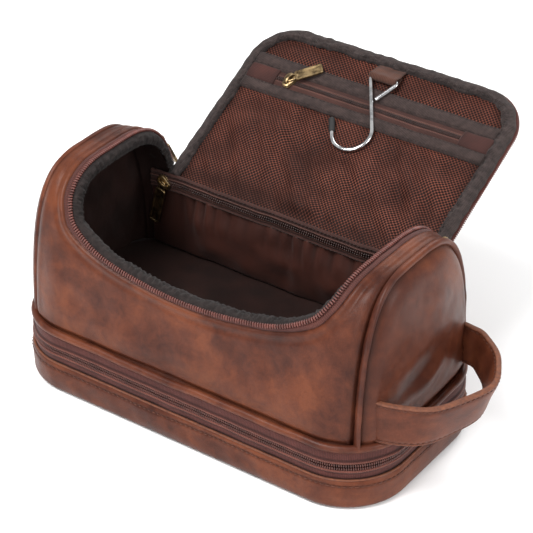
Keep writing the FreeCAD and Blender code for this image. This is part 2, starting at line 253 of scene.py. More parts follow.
def ring_section(rx, ry, count=12, power=2.0, at=(0.0, 0.0)):
    t = np.linspace(0, 2 * math.pi, count, endpoint=False)
    c, s = np.cos(t), np.sin(t)
    shape = 2 / power
    return np.stack([at[0] + rx * np.sign(c) * abs(c) ** shape, at[1] + ry * np.sign(s) * abs(s) ** shape], 1)


def bead(rx, ry, rz, count=8, rings=3, power=2.6, sink=0.0):
    """A rounded block about the origin, with its ends bent down by sink."""
    verts = [(-rx, 0, 0)]
    for lat in np.linspace(-math.pi / 2, math.pi / 2, rings + 2)[1:-1]:
        k = 2 / power
        x = rx * math.copysign(abs(math.sin(lat)) ** k, lat)
        r = abs(math.cos(lat)) ** k
        verts += [(x, y, z) for y, z in ring_section(ry * r, rz * r, count, power)]
    verts.append((rx, 0, 0))
    around = [(j, (j + 1) % count) for j in range(count)]
    last = len(verts) - 1
    faces = [(0, 1 + k, 1 + j) for j, k in around]
    for row in range(1, last - count, count):
        faces += [(row + j, row + k, row + count + k, row + count + j) for j, k in around]
    faces += [(last, last - count + j, last - count + k) for j, k in around]
    verts = np.array(verts, float)
    verts[:, 2] -= sink * (verts[:, 0] / rx) ** 2
    return verts, faces


def scatter(name, template, place, x, y, z, material):
    """One mesh with the template at every place, its axes along x, y and z."""
    verts, faces = template
    all_verts = place[:, None] + verts[None, :, :1] * x[:, None] + verts[None, :, 1:2] * y[:, None]
    all_verts = (all_verts + verts[None, :, 2:] * z[:, None]).reshape(-1, 3)
    all_faces = [[v + k * len(verts) for v in f] for k in range(len(place)) for f in faces]
    return make_mesh(name, all_verts, all_faces, material)


def join(name, pieces):
    """Several meshes as one object, with their materials."""
    bpy.ops.object.select_all(action="DESELECT")
    for piece in pieces:
        piece.select_set(True)
    bpy.context.view_layer.objects.active = pieces[0]
    bpy.ops.object.join()
    pieces[0].name = name
    pieces[0].data.name = name
    return pieces[0]


def along(path, pitch, closed=False, start=0.0):
    """Places every pitch along a path, as fractional indices into it."""
    d = arc_length(np.vstack([path, path[:1]]) if closed else path)
    count = max(2, int(round((d[-1] - start) / pitch)))
    marks = np.linspace(start, d[-1], count, endpoint=not closed)
    return np.interp(marks, d, np.arange(len(d)))


def pick(values, index):
    """Values along a path at fractional indices."""
    v = np.vstack([values, values[:1]])
    low = np.floor(index).astype(int)
    t = (index - low)[:, None]
    low = np.minimum(low, len(v) - 1)
    high = np.minimum(low + 1, len(v) - 1)
    return v[low] * (1 - t) + v[high] * t


def same(direction, path):
    """One direction for every point of a path."""
    return np.repeat(np.array([direction], float), len(path), 0)


def scatter_along(name, template, path, at, out, material, run=None):
    """The template at fractional indices of a path, its X along run or the path, and its Z along out."""
    x = unit(pick(tangents(path) if run is None else run, at))
    z = unit(pick(out, at))
    return scatter(name, template, pick(path, at), x, unit(np.cross(z, x)), z, material)


def stitch_row(name, path, out, material, pitch=3.3, size=(1.15, 0.32, 0.28), closed=False):
    at = along(path, pitch, closed)
    return scatter_along(name, bead(*size, sink=0.22), path, at, out, material, tangents(path, closed))


def dress(piece, slot, *nodes, body=None):
    """Hides the CAD nodes that a piece stands for and attaches the piece to the body that carries it. Slot,
    its kind of material, is not used.
    """
    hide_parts(*nodes)
    if body:
        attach(piece, body)
    return piece


# ---------------------------------------------------------------- materials


class Shader:
    """A Principled material with short calls for adding nodes."""

    def __init__(self, name, **sockets):
        self.material = bpy.data.materials.new(name)
        self.material.use_nodes = True
        self.tree = self.material.node_tree
        self.bsdf = self.tree.nodes["Principled BSDF"]
        for key, value in sockets.items():
            self.bsdf.inputs[key.replace("_", " ")].default_value = value
        self.place = self.tree.nodes.new("ShaderNodeTexCoord").outputs["Object"]

    def node(self, kind, inputs=None, out=0, **settings):
        made = self.tree.nodes.new("ShaderNode" + kind)
        for key, value in settings.items():
            setattr(made, key, value)
        for key, value in (inputs or {}).items():
            self.feed(made.inputs[key], value)
        return made.outputs[out]

    def feed(self, socket, value):
        if isinstance(value, bpy.types.NodeSocket):
            self.tree.links.new(value, socket)
        else:
            socket.default_value = (*value, 1.0) if isinstance(value, tuple) else value

    def noise(self, scale, detail=3.0, rough=0.55, warp=0.0):
        return self.node("TexNoise", {"Vector": self.place, "Scale": scale, "Detail": detail,
                                      "Roughness": rough, "Distortion": warp})

    def math(self, operation, a, b=0.0):
        return self.node("Math", {0: a, 1: b}, operation=operation)

    def blend(self, a, b, share):
        """Value a, with b as a share of the sum."""
        return self.math("ADD", self.math("MULTIPLY", a, 1 - share), self.math("MULTIPLY", b, share))

    def curve(self, value, stops):
        """A colour ramp through (position, colour) stops."""
        made = self.tree.nodes.new("ShaderNodeValToRGB")
        self.tree.links.new(value, made.inputs[0])
        elements = made.color_ramp.elements
        while len(elements) < len(stops):
            elements.new(0.5)
        for element, (position, colour) in zip(elements, stops):
            element.position = position
            element.color = (*colour, 1.0)
        return made.outputs[0]

    def mix(self, factor, a, b, blend="MIX"):
        return self.node("Mix", {0: factor, 6: a, 7: b}, 2, data_type="RGBA", blend_type=blend)

    def span(self, value, low, high):
        return self.node("MapRange", {0: value, 3: low, 4: high})

    def shade(self):
        return self.node("Attribute", out=2, attribute_name="shade")

    def paint_shade(self, colour, amount, shade_colour, share):
        """Painted shade: the colour, mixed towards a share of a darker colour where the piece's shade
        attribute says so.
        """
        return self.mix(self.shade(), colour, self.mix(amount, colour, tuple(c * share for c in shade_colour)))

    def uv(self):
        """UV as two values, in centimetres along and across the piece."""
        source = self.node("UVMap", uv_map="UVMap")
        return [self.node("SeparateXYZ", {0: source}, out) for out in (0, 1)]

    def waves(self, value, per_unit):
        """0 to 1 and back, per_unit times a unit."""
        return self.span(self.math("SINE", self.math("MULTIPLY", value, 2 * math.pi * per_unit)), 0.0, 1.0)

    def wire(self, colour, rough, heights):
        """Connects colour, roughness and bumps, each height as (value, strength, distance in mm)."""
        self.feed(self.bsdf.inputs["Base Color"], colour)
        if rough:
            self.feed(self.bsdf.inputs["Roughness"], rough)
        below = {}
        for value, strength, distance in heights:
            bump = {"Strength": strength, "Distance": distance * MM, "Height": value, **below}
            below = {"Normal": self.node("Bump", bump)}
        self.feed(self.bsdf.inputs["Normal"], below["Normal"])
        return self.material


def leather(name, dark, middle, light, grain=0.28):
    s = Shader(name, Specular_IOR_Level=0.14, Coat_Weight=0.05, Coat_Roughness=0.28)
    broad = s.noise(20, 4.0, 0.6, 0.6)
    fine = s.noise(120, 6.0, 0.66, 0.5)
    colour = s.curve(s.blend(broad, fine, 0.34), [(0.38, dark), (0.5, middle), (0.62, light)])
    cells = s.node("TexVoronoi", {"Vector": s.place, "Scale": 820}, feature="DISTANCE_TO_EDGE")
    crease = s.math("MINIMUM", s.math("MULTIPLY", cells, 7.0), 1.0)
    colour = s.mix(s.span(crease, 0.18, 0.0), colour, (0.35, 0.3, 0.3), "MULTIPLY")
    # Painted shade: the shade attribute darkens the colour in seams, grooves, creases and folds, and raises
    # the roughness there.
    painted_shade = s.span(s.shade(), 0.0, 1.0)
    colour = s.mix(painted_shade, colour, s.mix(0.66, colour, tuple(c * 0.38 for c in dark)))
    gloss = s.span(s.math("ADD", fine, s.math("MULTIPLY", painted_shade, 0.4)), 0.31, 0.48)
    pores = s.noise(2600, 2.0)
    return s.wire(colour, gloss, [(broad, 0.10, 1.5), (crease, grain, 0.16), (pores, 0.12, 0.08)])


def woven(name, dark, light, per_cm, rough, sheen=0.1):
    """Plain weave from the piece's UV, threads along and across."""
    s = Shader(name, Roughness=rough, Sheen_Weight=sheen, Sheen_Roughness=0.45, Specular_IOR_Level=0.2)
    u, v = s.uv()
    over = s.math("MULTIPLY", s.waves(u, per_cm), s.waves(v, per_cm))
    colour = s.curve(s.blend(s.noise(45, 4.0), over, 0.35), [(0.25, dark), (0.62, light)])
    # Painted shade: darker where the piece's shade attribute says so.
    colour = s.paint_shade(colour, 0.8, dark, 0.2)
    return s.wire(colour, None, [(over, 0.5, 0.25), (s.noise(700, 2.0), 0.15, 0.1)])


def ribbed(name, dark, light, per_cm=9.0, rough=0.7, patch=60.0):
    """Grosgrain or zip tape, with ribs across the piece's length."""
    s = Shader(name, Roughness=rough, Sheen_Weight=0.06, Specular_IOR_Level=0.18)
    u, v = s.uv()
    height = s.blend(s.waves(u, per_cm), s.waves(v, per_cm * 2.1), 0.3)
    colour = s.curve(s.blend(s.noise(patch, 4.0), height, 0.4), [(0.28, dark), (0.66, light)])
    # Painted shade: darker where the piece's shade attribute says so.
    return s.wire(s.paint_shade(colour, 0.8, dark, 0.2), None, [(height, 0.6, 0.3)])


def netting(name, thread, hole, per_cm=4.2):
    """Diamond net over a dark lining."""
    s = Shader(name, Roughness=0.65, Specular_IOR_Level=0.12)
    u, v = s.uv()
    diagonals = (s.math("MULTIPLY", s.math(way, u, v), math.pi * per_cm) for way in ("ADD", "SUBTRACT"))
    gap = s.math("MULTIPLY", *(s.math("ABSOLUTE", s.math("SINE", d)) for d in diagonals))
    opening = s.node("MapRange", {0: gap, 1: 0.08, 2: 0.34, 3: 0.0, 4: 1.0})
    faded, bright = (tuple(c * share for c in thread) for share in (0.62, 1.15))
    strand = s.curve(s.noise(38, 4.0, 0.6), [(0.36, faded), (0.62, bright)])
    # Painted shade: darker towards the hole colour where the piece's shade attribute says so.
    colour = s.paint_shade(s.mix(opening, strand, hole), 0.75, hole, 0.7)
    return s.wire(colour, None, [(s.math("SUBTRACT", 1.0, opening), 0.8, 0.4)])


def metal(name, colour, dark, rough=(0.22, 0.42), patch=160.0, wear=0.6):
    s = Shader(name, Metallic=1.0)
    stain = s.noise(patch, 5.0, 0.65)
    fine = s.noise(1800, 3.0)
    tone = s.curve(stain, [(0.5 - wear * 0.25, dark), (0.58, colour)])
    return s.wire(tone, s.span(stain, rough[1], rough[0]), [(fine, 0.08, 0.05), (stain, 0.1, 0.1)])


def plastic(name, dark, light, rough=0.45, patch=220.0, bump=0.2):
    s = Shader(name, Roughness=rough, Specular_IOR_Level=0.45)
    tone = s.noise(patch, 4.0, 0.6)
    colour = s.curve(tone, [(0.3, dark), (0.7, light)])
    return s.wire(colour, s.span(tone, rough - 0.08, rough + 0.1), [(s.noise(1500, 2.0), bump, 0.06)])


def thread(name, dark, light):
    s = Shader(name, Roughness=0.62, Sheen_Weight=0.06, Specular_IOR_Level=0.2)
    twist = s.node("TexWave", {"Vector": s.place, "Scale": 900.0, "Distortion": 2.0})
    colour = s.curve(s.noise(300, 2.0), [(0.3, dark), (0.7, light)])
    return s.wire(colour, None, [(twist, 0.4, 0.08)])


LEATHER = leather("bag_leather", (0.04, 0.0104, 0.0058), (0.081, 0.0218, 0.0104), (0.132, 0.0368, 0.0152))
END_LEATHER = leather("end_leather", (0.056, 0.015, 0.008), (0.09, 0.0245, 0.0118), (0.138, 0.0395, 0.0165))
STRAP_LEATHER = leather("strap_leather", (0.054, 0.015, 0.008), (0.098, 0.027, 0.013), (0.15, 0.0435, 0.019))
PIPING = leather("piping_leather", (0.042, 0.0115, 0.007), (0.085, 0.0235, 0.012), (0.14, 0.041, 0.019), 0.15)
RAW_EDGE = plastic("raw_leather_edge", (0.07, 0.021, 0.01), (0.17, 0.054, 0.022), 0.7, 500.0, 0.5)
TAPE = ribbed("zip_tape", (0.046, 0.0132, 0.0108), (0.112, 0.033, 0.0265), 10.0)
RIM_TAPE = ribbed("rim_tape", (0.045, 0.013, 0.0105), (0.095, 0.029, 0.021), 8.0, 0.55)
TEETH = plastic("zip_teeth", (0.012, 0.0055, 0.0048), (0.045, 0.018, 0.014), 0.35)
BAND_TEETH = plastic("band_teeth", (0.036, 0.0115, 0.0085), (0.105, 0.032, 0.023), 0.42)
RIM_TEETH = plastic("rim_teeth", (0.06, 0.018, 0.014), (0.155, 0.048, 0.037), 0.4)
COPPER_RIB = ribbed("tape_rib", (0.07, 0.021, 0.015), (0.165, 0.054, 0.037), 9.0, 0.5)
POCKET_RIB = ribbed("pocket_rib", (0.046, 0.019, 0.0145), (0.13, 0.056, 0.043), 9.0, 0.5)
BINDING = ribbed("binding", (0.011, 0.0078, 0.0074), (0.066, 0.047, 0.0435), 12.0, 0.85, 300.0)
NET = netting("lid_net", (0.166, 0.052, 0.033), (0.009, 0.0027, 0.002))
FLANGE = ribbed("rim_flange", (0.007, 0.005, 0.0047), (0.034, 0.0245, 0.0228), 12.0, 0.9, 300.0)
WEBBING = ribbed("webbing", (0.015, 0.0095, 0.0088), (0.066, 0.043, 0.0385), 11.0, 0.85, 300.0)
POCKET_TAPE = ribbed("pocket_tape", (0.024, 0.0098, 0.008), (0.07, 0.027, 0.0205), 11.0, 0.75)
PATCH = woven("end_patch", (0.022, 0.0068, 0.0054), (0.066, 0.0205, 0.0155), 10, 0.75)
LINING = woven("lining", (0.0085, 0.003, 0.0022), (0.024, 0.0078, 0.0055), 18, 0.6, 0.03)
POCKET = woven("pocket_cloth", (0.03, 0.0085, 0.0055), (0.068, 0.019, 0.012), 18, 0.6, 0.03)
LOOP = ribbed("loop_webbing", (0.046, 0.0185, 0.0125), (0.115, 0.05, 0.034), 9.0, 0.8)
BRASS = metal("antique_brass", (0.4, 0.285, 0.145), (0.075, 0.05, 0.029), (0.26, 0.46))
STEEL = metal("steel_wire", (0.8, 0.8, 0.8), (0.45, 0.45, 0.46), (0.1, 0.2), 90.0, 0.3)
RUBBER = plastic("black_rubber", (0.003, 0.003, 0.003), (0.01, 0.01, 0.01), 0.62)
THREAD = thread("leather_thread", (0.045, 0.014, 0.0085), (0.11, 0.036, 0.02))
DARK_THREAD = thread("dark_thread", (0.008, 0.0045, 0.004), (0.026, 0.0135, 0.0115))
BOARD = plastic("base_board", (0.12, 0.1, 0.08), (0.2, 0.17, 0.14), 0.9)

# ---------------------------------------------------------------- shared shapes

UP = np.array([0.0, 0.0, 1.0])
TRAY_X, TRAY_Y = np.array(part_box("tray_wall")[1])[:2] / MM
TRAY_R = 40.0
INSET = 3.7
BODY_X, BODY_Y, BODY_R = TRAY_X - INSET, TRAY_Y - INSET, TRAY_R - INSET
BODY_LOW = 38.0
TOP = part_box("main_panel")[1].z / MM
FOOT, POWER = -7.56, 3.58
SEAM_X = 114.0
LEATHER_THICK, BODY_THICK = 1.2, 1.3
# Distances between zip teeth.
BAND_PITCH, RIM_PITCH, LID_PITCH, POCKET_PITCH = 1.3, 1.6, 1.4, 1.5
END_DEPTH = BODY_X - SEAM_X


def plan_loop(half_x, half_y, radius, gap=0.0, step=1.4):
    """A rounded rectangle from the back's middle round by the left, with its outward normals."""
    x, y = half_x - radius, half_y - radius
    points = [(-gap, half_y)]
    for sx, sy, start in ((-1, 1, 90), (-1, -1, 180), (1, -1, 270), (1, 1, 0)):
        t = np.radians(start + np.linspace(0, 90, 30))
        points += list(zip(sx * x + radius * np.cos(t), sy * y + radius * np.sin(t)))
    if gap:
        points.append((gap, half_y))
    length = arc_length(np.array(points))[-1]
    flat = resample(points, int(length / step), closed=not gap)
    normal = unit(flat - np.clip(flat, (-x, -y), (x, y)))
    zero = np.zeros((len(flat), 1))
    return np.hstack([flat, zero]), np.hstack([normal, zero])


def arch_table():
    t = np.linspace(0, math.pi, 8001)[1:-1]
    y = -np.sign(np.cos(t)) * np.abs(np.cos(t)) ** (2 / POWER)
    z = np.sin(t) ** (2 / POWER)
    keep = FOOT + (TOP - FOOT) * z >= BODY_LOW
    y, z = y[keep], z[keep]
    a = arc_length(np.stack([BODY_Y * y, FOOT + (TOP - FOOT) * z], 1))
    return a, y, z


ARCH_A, ARCH_Y, ARCH_Z = arch_table()
ARCH_LENGTH = ARCH_A[-1]


def half_width(x):
    reach = np.clip(np.abs(x) - (BODY_X - BODY_R), 0, BODY_R)
    return BODY_Y - BODY_R + np.sqrt(BODY_R**2 - reach**2)


def surface(x, a):
    """Point on the body's outer surface: x along the bag, a up the front, over the top and down the back."""
    y = np.interp(a, ARCH_A, ARCH_Y) * half_width(x)
    z = FOOT + (TOP - FOOT) * np.interp(a, ARCH_A, ARCH_Z)
    return np.stack([x + 0 * y, y, z], -1)


def surface_normal(x, a):
    a = np.clip(a, 0.6, ARCH_LENGTH - 0.6)
    across = surface(x + 0.5, a) - surface(x - 0.5, a)
    return unit(np.cross(across, surface(x, a + 0.5) - surface(x, a - 0.5)))


def arch_at(points):
    """The a of the surface point nearest each point, keeping its x."""
    w = half_width(points[:, 0])
    y = w[:, None] * ARCH_Y[None]
    z = FOOT + (TOP - FOOT) * ARCH_Z[None]
    near = np.argmin((y - points[:, 1:2]) ** 2 + (z - points[:, 2:3]) ** 2, 1)
    return ARCH_A[near]


def back_arch(z):
    half = len(ARCH_A) // 2
    return float(np.interp(-z, -(FOOT + (TOP - FOOT) * ARCH_Z[half:]), ARCH_A[half:]))


RIM_HALF = [(0, -58, 93.4), (34, -58, 96), (61.6, -57, 101.6), (81.3, -53, 111.4), (88.6, -47.5, 119.8),
            (92, -40.6, 126.4), (95, -20, 134.5), (95.5, 12, 132), (96, 29, 126), (96, 48, 113), (96, 56, 97)]
RIM_COUNT = 480


def rim_path():
    right = np.array(RIM_HALF, float)
    left = right[:0:-1] * (-1, 1, 1)
    path = resample(spline(np.vstack([left, right])), RIM_COUNT)
    return surface(path[:, 0], arch_at(path))


RIM = rim_path()
for _ in range(6):
    RIM[1:-1] = (RIM[:-2] + 2 * RIM[1:-1] + RIM[2:]) / 4
RIM_A = arch_at(RIM)
RIM_T = tangents(RIM)
RIM_N = surface_normal(RIM[:, 0], RIM_A)
RIM_Q = unit(np.cross(RIM_N, RIM_T))
RIM_Q *= np.sign((RIM_Q * (np.array([0, 0, 140.0]) - RIM)).sum(1, keepdims=True))
RIM_GAP = 2.3 + 2.2 * ramp(RIM[:, 2], 97, 113)
BACK_EDGE_Z = 94.2


def opening_outline(gap):
    """The opening's edge, gap outside the rim, as (x, a), closed along the lid's hinge."""
    edge = RIM - RIM_Q * np.reshape(gap, (-1, 1))
    a = arch_at(edge)
    front = np.stack([edge[:, 0], a], 1)[(edge[:, 1] < 30) | (edge[:, 2] > 104)]
    side = abs(front[-1, 0])
    low = back_arch(BACK_EDGE_Z)
    back = [(side - 1.5, low - 6), (side - 5, low - 1.6), (side - 10, low), (side - 30, low), (0, low)]
    back += [(-x, a) for x, a in back[-2::-1]]
    return np.vstack([front, back])


def round_the_opening(outline, half, rows, count):
    """(x, a) of a grid from the opening's outline out to the seams, and the distances from the outline."""
    outline = resample(outline, 1200, closed=True)
    middle = np.array([0.0, (outline[:, 1].min() + outline[:, 1].max()) / 2])
    away = outline - middle
    corners = [math.atan2(a - middle[1], x) for x in (-half, half) for a in (0, ARCH_LENGTH)]
    angle = np.unique(np.r_[np.linspace(-math.pi, math.pi, count, endpoint=False), corners])
    turn = np.arctan2(away[:, 1], away[:, 0])
    order = np.argsort(turn)
    inner = np.interp(angle, turn[order], np.hypot(*away.T)[order], period=2 * math.pi)
    c, s = np.cos(angle), np.sin(angle)
    reach = np.where(s > 0, ARCH_LENGTH - middle[1], middle[1])
    outer = np.minimum(half / np.maximum(abs(c), 1e-9), reach / np.maximum(abs(s), 1e-9))
    t = np.linspace(0, 1, rows)[:, None]
    t = 0.55 * (1 - np.cos(math.pi * t)) / 2 + 0.45 * t
    r = inner + (outer - inner) * t
    x, a = r * c, middle[1] + r * s
    marks = resample(outline, 420, closed=True)
    return x, a, np.min([np.hypot(x - px, a - pa) for px, pa in marks], axis=0)


def end_fan(side, half, depth, inset, rows=46, count=150, low=0.0):
    """Points of a rounded end panel as a fan about the middle of its foot, and how far out each row is."""
    a = np.linspace(0, ARCH_LENGTH, count)
    rim = surface(np.full(count, half), a) - surface_normal(np.full(count, half), a) * inset
    hub = np.array([half, 0.0, BODY_LOW + low])
    rim[:, 2] = np.maximum(rim[:, 2], hub[2])
    t = 1 - (1 - np.linspace(0.0, 1, rows)) ** 1.5
    t[0] = 0.004
    points = hub + (rim - hub)[None] * t[:, None, None]
    points[..., 0] = half + depth * np.maximum(1 - t**POWER, 0)[:, None] ** 0.6
    points[..., 0] *= side
    return points, t


# ---------------------------------------------------------------- tray


TRAY_WALL = [(-9.5, 0.7), (-6.5, 0.25), (-4.2, 0.2), (-2.3, 0.8), (-1, 2.1), (-0.35, 4.2), (0, 7.5),
             (0.1, 11), (0.05, 14.5), (-0.15, 17.2), (-0.5, 18.9), (-1.1, 19.9), (-2, 20.2), (-3.1, 19.8),
             (-3.6, 18.4), (-3.7, 15.5)]
TRAY_LINING = [(-3.9, 16.5), (-4.3, 12), (-4.4, 8), (-4.6, 5.4), (-6.5, 4.6), (-10, 4.5)]
TRAY_SEAM = 16.7


def wall_unevenness(points):
    return 0.4 * wobble(points * (1, 1, 1.8), 46, 11) + 0.14 * wobble(points, 15, 12)


def flat_sheet(name, edge, rows, height, uneven, seed, material, thick, out=UP, still_edge=False, **more):
    """A nearly flat sheet inside a closed edge. Uneven is the amount and the length of its unevenness."""
    share = np.linspace(1, 0.001, rows)[:, None]
    points = edge[None] * share[..., None]
    lift = uneven[0] * wobble(points, uneven[1], seed)
    points[..., 2] = height + lift * (ramp(1 - share, 0, 0.1) if still_edge else 1)
    return grid(name, points, material, wrap=(False, True), thick=thick, out=out, **more)


def build_tray():
    path, out = plan_loop(TRAY_X, TRAY_Y, TRAY_R)
    up = same(UP, path)
    section = spline(TRAY_WALL, 5)
    points = swept(path, out, up, section)
    z = section[:, 1:]
    swell = wall_unevenness(points) * ramp(z, 2, 8) * (1 - ramp(z, 16.5, 19.5))
    groove = 0.5 * bell(z, 0.7, TRAY_SEAM - 0.1) * (section[:, :1] > -1.5)
    points += out[None] * (swell - 0.35 - groove)[..., None]
    shade = 0.55 * bell(z, 1.0, TRAY_SEAM) + 0.5 * (1 - ramp(z, 0.4, 3.0))
    shell = grid("tray_shell", points, LEATHER, (False, True), thick=LEATHER_THICK, out=out[None],
                 shade=shade)
    dress(shell, "leather", "tray_wall", "base_panel", body="tray")
    cut = ring_section(0.7, 0.5, 10, 2.6, at=(-1.75, 20.35))
    stitches = path + out * -0.32 + UP * TRAY_SEAM
    stitches += out * wall_unevenness(stitches)[:, None] * 0.6
    for piece in (
        flat_sheet("tray_base", path + out * -8.5, 30, 0.55, (0.25, 60), 12, LEATHER, 1.0, -UP, shade=0.15),
        sweep("tray_cut_edge", path, out, up, cut, RAW_EDGE, closed=True),
        stitch_row("tray_stitching", stitches, out, THREAD, closed=True),
    ):
        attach(piece, "tray")
    lining = spline(TRAY_LINING, 4)
    liner = sweep("tray_lining_wall", path, out, up, lining, LINING, closed=True, loop=False, thick=0.5)
    dress(liner, "lining", "tray_lining", body="tray")
    floor = flat_sheet("tray_lining_floor", path + out * -9.5, 30, 4.6, (0.3, 40), 13, LINING, 0.5)
    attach(floor, "tray")


# Name, body, height and first place of the teeth, seed, and the tape's section as (out, height).
BOTTOM_ZIP = (
    ("lower", "tray", 27.9, 0.0, 21, [(-4.0, 15.5), (-3.4, 18.5), (-2.9, 20.5), (-2.6, 22.5), (-2.5, 24.6),
                                      (-2.1, 25.2), (-1.5, 25.7), (-1.4, 26.3), (-1.9, 26.9), (-2.7, 27.0),
                                      (-3.6, 26.9)]),
    ("upper", "body", 30.0, 0.65, 22, [(-3.6, 30.9), (-2.7, 30.8), (-2.0, 30.9), (-1.6, 31.4), (-1.7, 32.0),
                                       (-2.3, 32.5), (-2.7, 33.2), (-2.9, 34.6), (-3.1, 36.2), (-3.4, 37.8),
                                       (-4.2, 39.4)]),
)
ZIP_GAP, HINGE_HALF = 81.5, 83
TRAY_HINGE = [(63.2, 14.5), (63.8, 19), (64.3, 23), (64.5, 27), (64.4, 31), (64.0, 35), (63.2, 40)]


def build_bottom_zip():
    path, out = plan_loop(TRAY_X, TRAY_Y, TRAY_R, gap=ZIP_GAP)
    for name, body, teeth_z, first, seed, section in BOTTOM_ZIP:
        section = spline(section, 4)
        points = swept(path, out, same(UP, path), section)
        points += out[None] * (0.25 * wobble(points, 24, seed))[..., None]
        z = section[:, 1:]
        rib = np.squeeze(bell(z, 0.8, 26.2) + bell(z, 0.8, 31.5))
        shade = 0.85 * (bell(z, 0.7, 24.9) + bell(z, 0.7, 32.9) + bell(z, 1.0, 20.5))
        tape = grid(name + "_tape", points, thick=0.7, out=out[None], shade=shade,
                    slots=(rib[:-1] + rib[1:] > 0.9).astype(int), materials=(TAPE, COPPER_RIB))
        dress(tape, "zip_tape", name + "_zip_tape", body=body)
        row = path + out * -2.25 + UP * teeth_z
        places = along(row, BAND_PITCH, start=first)
        teeth = scatter_along(name + "_teeth", bead(0.48, 0.95, 0.80), row, places, out, BAND_TEETH)
        dress(teeth, "zip_coil", name + "_zip_coil", body=body)


def build_tray_hinge():
    x = np.linspace(-HINGE_HALF, HINGE_HALF, 90)
    section = spline(TRAY_HINGE, 5)
    points = np.stack(np.broadcast_arrays(x[None], section[:, :1], section[:, 1:]), -1)
    points[..., 1] += 0.35 * wobble(points, 20, 23)
    shade = 0.5 * bell(points[..., 2], 2.0, 22) + 0.5 * bell(points[..., 2], 2.0, 37)
    hinge = grid("tray_hinge", points, LEATHER, thick=LEATHER_THICK, out=(0, 1, 0), shade=shade)
    dress(hinge, "leather", "hinge_strip_lower", "hinge_strip_upper")
    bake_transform(hinge)


# ---------------------------------------------------------------- body

WRAP_HALF = SEAM_X - 1.0
LINING_IN = 4.6
# Lines of the creases in the end panels, as (y, z) from and to, with their height and width.
CREASES = {
    "right": [((-46, 52), (30, 74), 1.7, 6.0), ((-44, 70), (28, 100), 1.1, 7.0),
              ((10, 48), (46, 88), 1.2, 6.0), ((-20, 116), (34, 104), 0.7, 6.0)],
    "left": [((-40, 60), (26, 84), 1.2, 7.0), ((-10, 50), (44, 80), 1.1, 6.0)],
}
# About how far the seam is from the middle of an end panel's foot.
FAN_LENGTH = 60
# Side, seam depth, and the piping's radius and height above the seam. The left piping is the smaller one.
ENDS = {"left": (-1, 0.5, 1.6, -1.1), "right": (1, 1.8, 2.15, 0.25)}


def body_relief(points, seed):
    """Height of the leather's soft unevenness."""
    sizes = ((0.55, 62), (0.22, 22), (0.05, 7))
    return sum(amount * wobble(points, length, seed + k) for k, (amount, length) in enumerate(sizes))


def build_wrap():
    x, a, from_edge = round_the_opening(opening_outline(RIM_GAP), WRAP_HALF, 64, 600)
    points, normal = surface(x, a), surface_normal(x, a)
    foot = np.minimum(a, ARCH_LENGTH - a)
    side = WRAP_HALF - np.abs(x)
    height = body_relief(points, 31)
    height *= ramp(from_edge, 0, 9) * ramp(foot, 3, 14) * (0.25 + 0.75 * ramp(side, 0, 16))
    height += 0.9 * bell(foot, 9, 20) * ramp(side, 5, 30)
    height -= 1.5 * bell(foot, 1.7, 5.0)
    height -= np.where(x > 0, 1.9, 0.5) * bell(side, 1.8)
    height += 0.45 * bell(side, 2.6, 5.2)
    height += 0.75 * bell(from_edge, 1.8, 2.5) - 1.3 * bell(from_edge, 0.9) - 0.5 * bell(from_edge, 1.6, 6.0)
    points += normal * height[..., None]
    # Painted shade at the foot, the side seams and the opening's edge, and darker patches at random.
    shade = 0.7 * bell(foot, 1.7, 5.0) + 0.7 * bell(side, 1.8) + 0.15 * bell(side, 6)
    shade += 0.6 * bell(from_edge, 0.9) + 0.18 * np.clip(wobble(points, 30, 35), 0, 1)
    wrap = grid("body_wrap", points, LEATHER, (False, True), thick=BODY_THICK, out=normal, shade=shade)
    dress(wrap, "leather", "main_panel", "back_panel", body="body")


def build_lining():
    x, a, from_edge = round_the_opening(opening_outline(RIM_GAP - 1.5), WRAP_HALF + 2.0, 40, 360)
    points, normal = surface(x, a), surface_normal(x, a)
    folds = 1.1 * wobble(points * (1.6, 0.5, 0.5), 24, 37) + 0.5 * wobble(points, 9, 38)
    folds *= ramp(WRAP_HALF - np.abs(x), -1, 9)
    points -= normal * (4.2 + ramp(from_edge, 1, 10) * (0.9 + folds))[..., None]
    cloth = [grid("lining_round", points, LINING, wrap=(False, True), thick=0.4, out=-normal)]
    for side in (-1, 1):
        fan, t = end_fan(side, WRAP_HALF - 1.2, END_DEPTH - LINING_IN, 5.2)
        folds = 0.6 + 0.8 * wobble(fan * (1, 1.5, 0.6), 20, 39 + side)
        fan[..., 0] -= side * folds * ramp(1 - t, 0, 0.1)[:, None]
        cloth.append(grid("lining_end", fan, LINING, thick=0.4, out=(-side, 0, 0)))
    lining = dress(join("main_lining_cloth", cloth), "lining", "main_lining", body="body")
    path = plan_loop(BODY_X - LINING_IN, BODY_Y - LINING_IN, BODY_R - LINING_IN)[0]
    floor = flat_sheet("body_floor", path, 34, 40.6, (0.5, 34), 43, LINING, 1.2, still_edge=True)
    dress(floor, "lining", "floor_panel", body="body")


def crease(y, z, start, end, depth, width):
    """Height of one soft crease, a ridge with a valley beside it."""
    (y0, z0), (y1, z1) = start, end
    length = math.hypot(y1 - y0, z1 - z0)
    dy, dz = (y1 - y0) / length, (z1 - z0) / length
    run = (y - y0) * dy + (z - z0) * dz
    off = (y - y0) * dz - (z - z0) * dy + 2.2 * np.sin(run / 9.0)
    inside = ramp(run, 0, length * 0.35) * (1 - ramp(run, length * 0.6, length))
    return depth * inside * (bell(off, width) - 0.55 * bell(off, width * 0.8, width * 1.9))


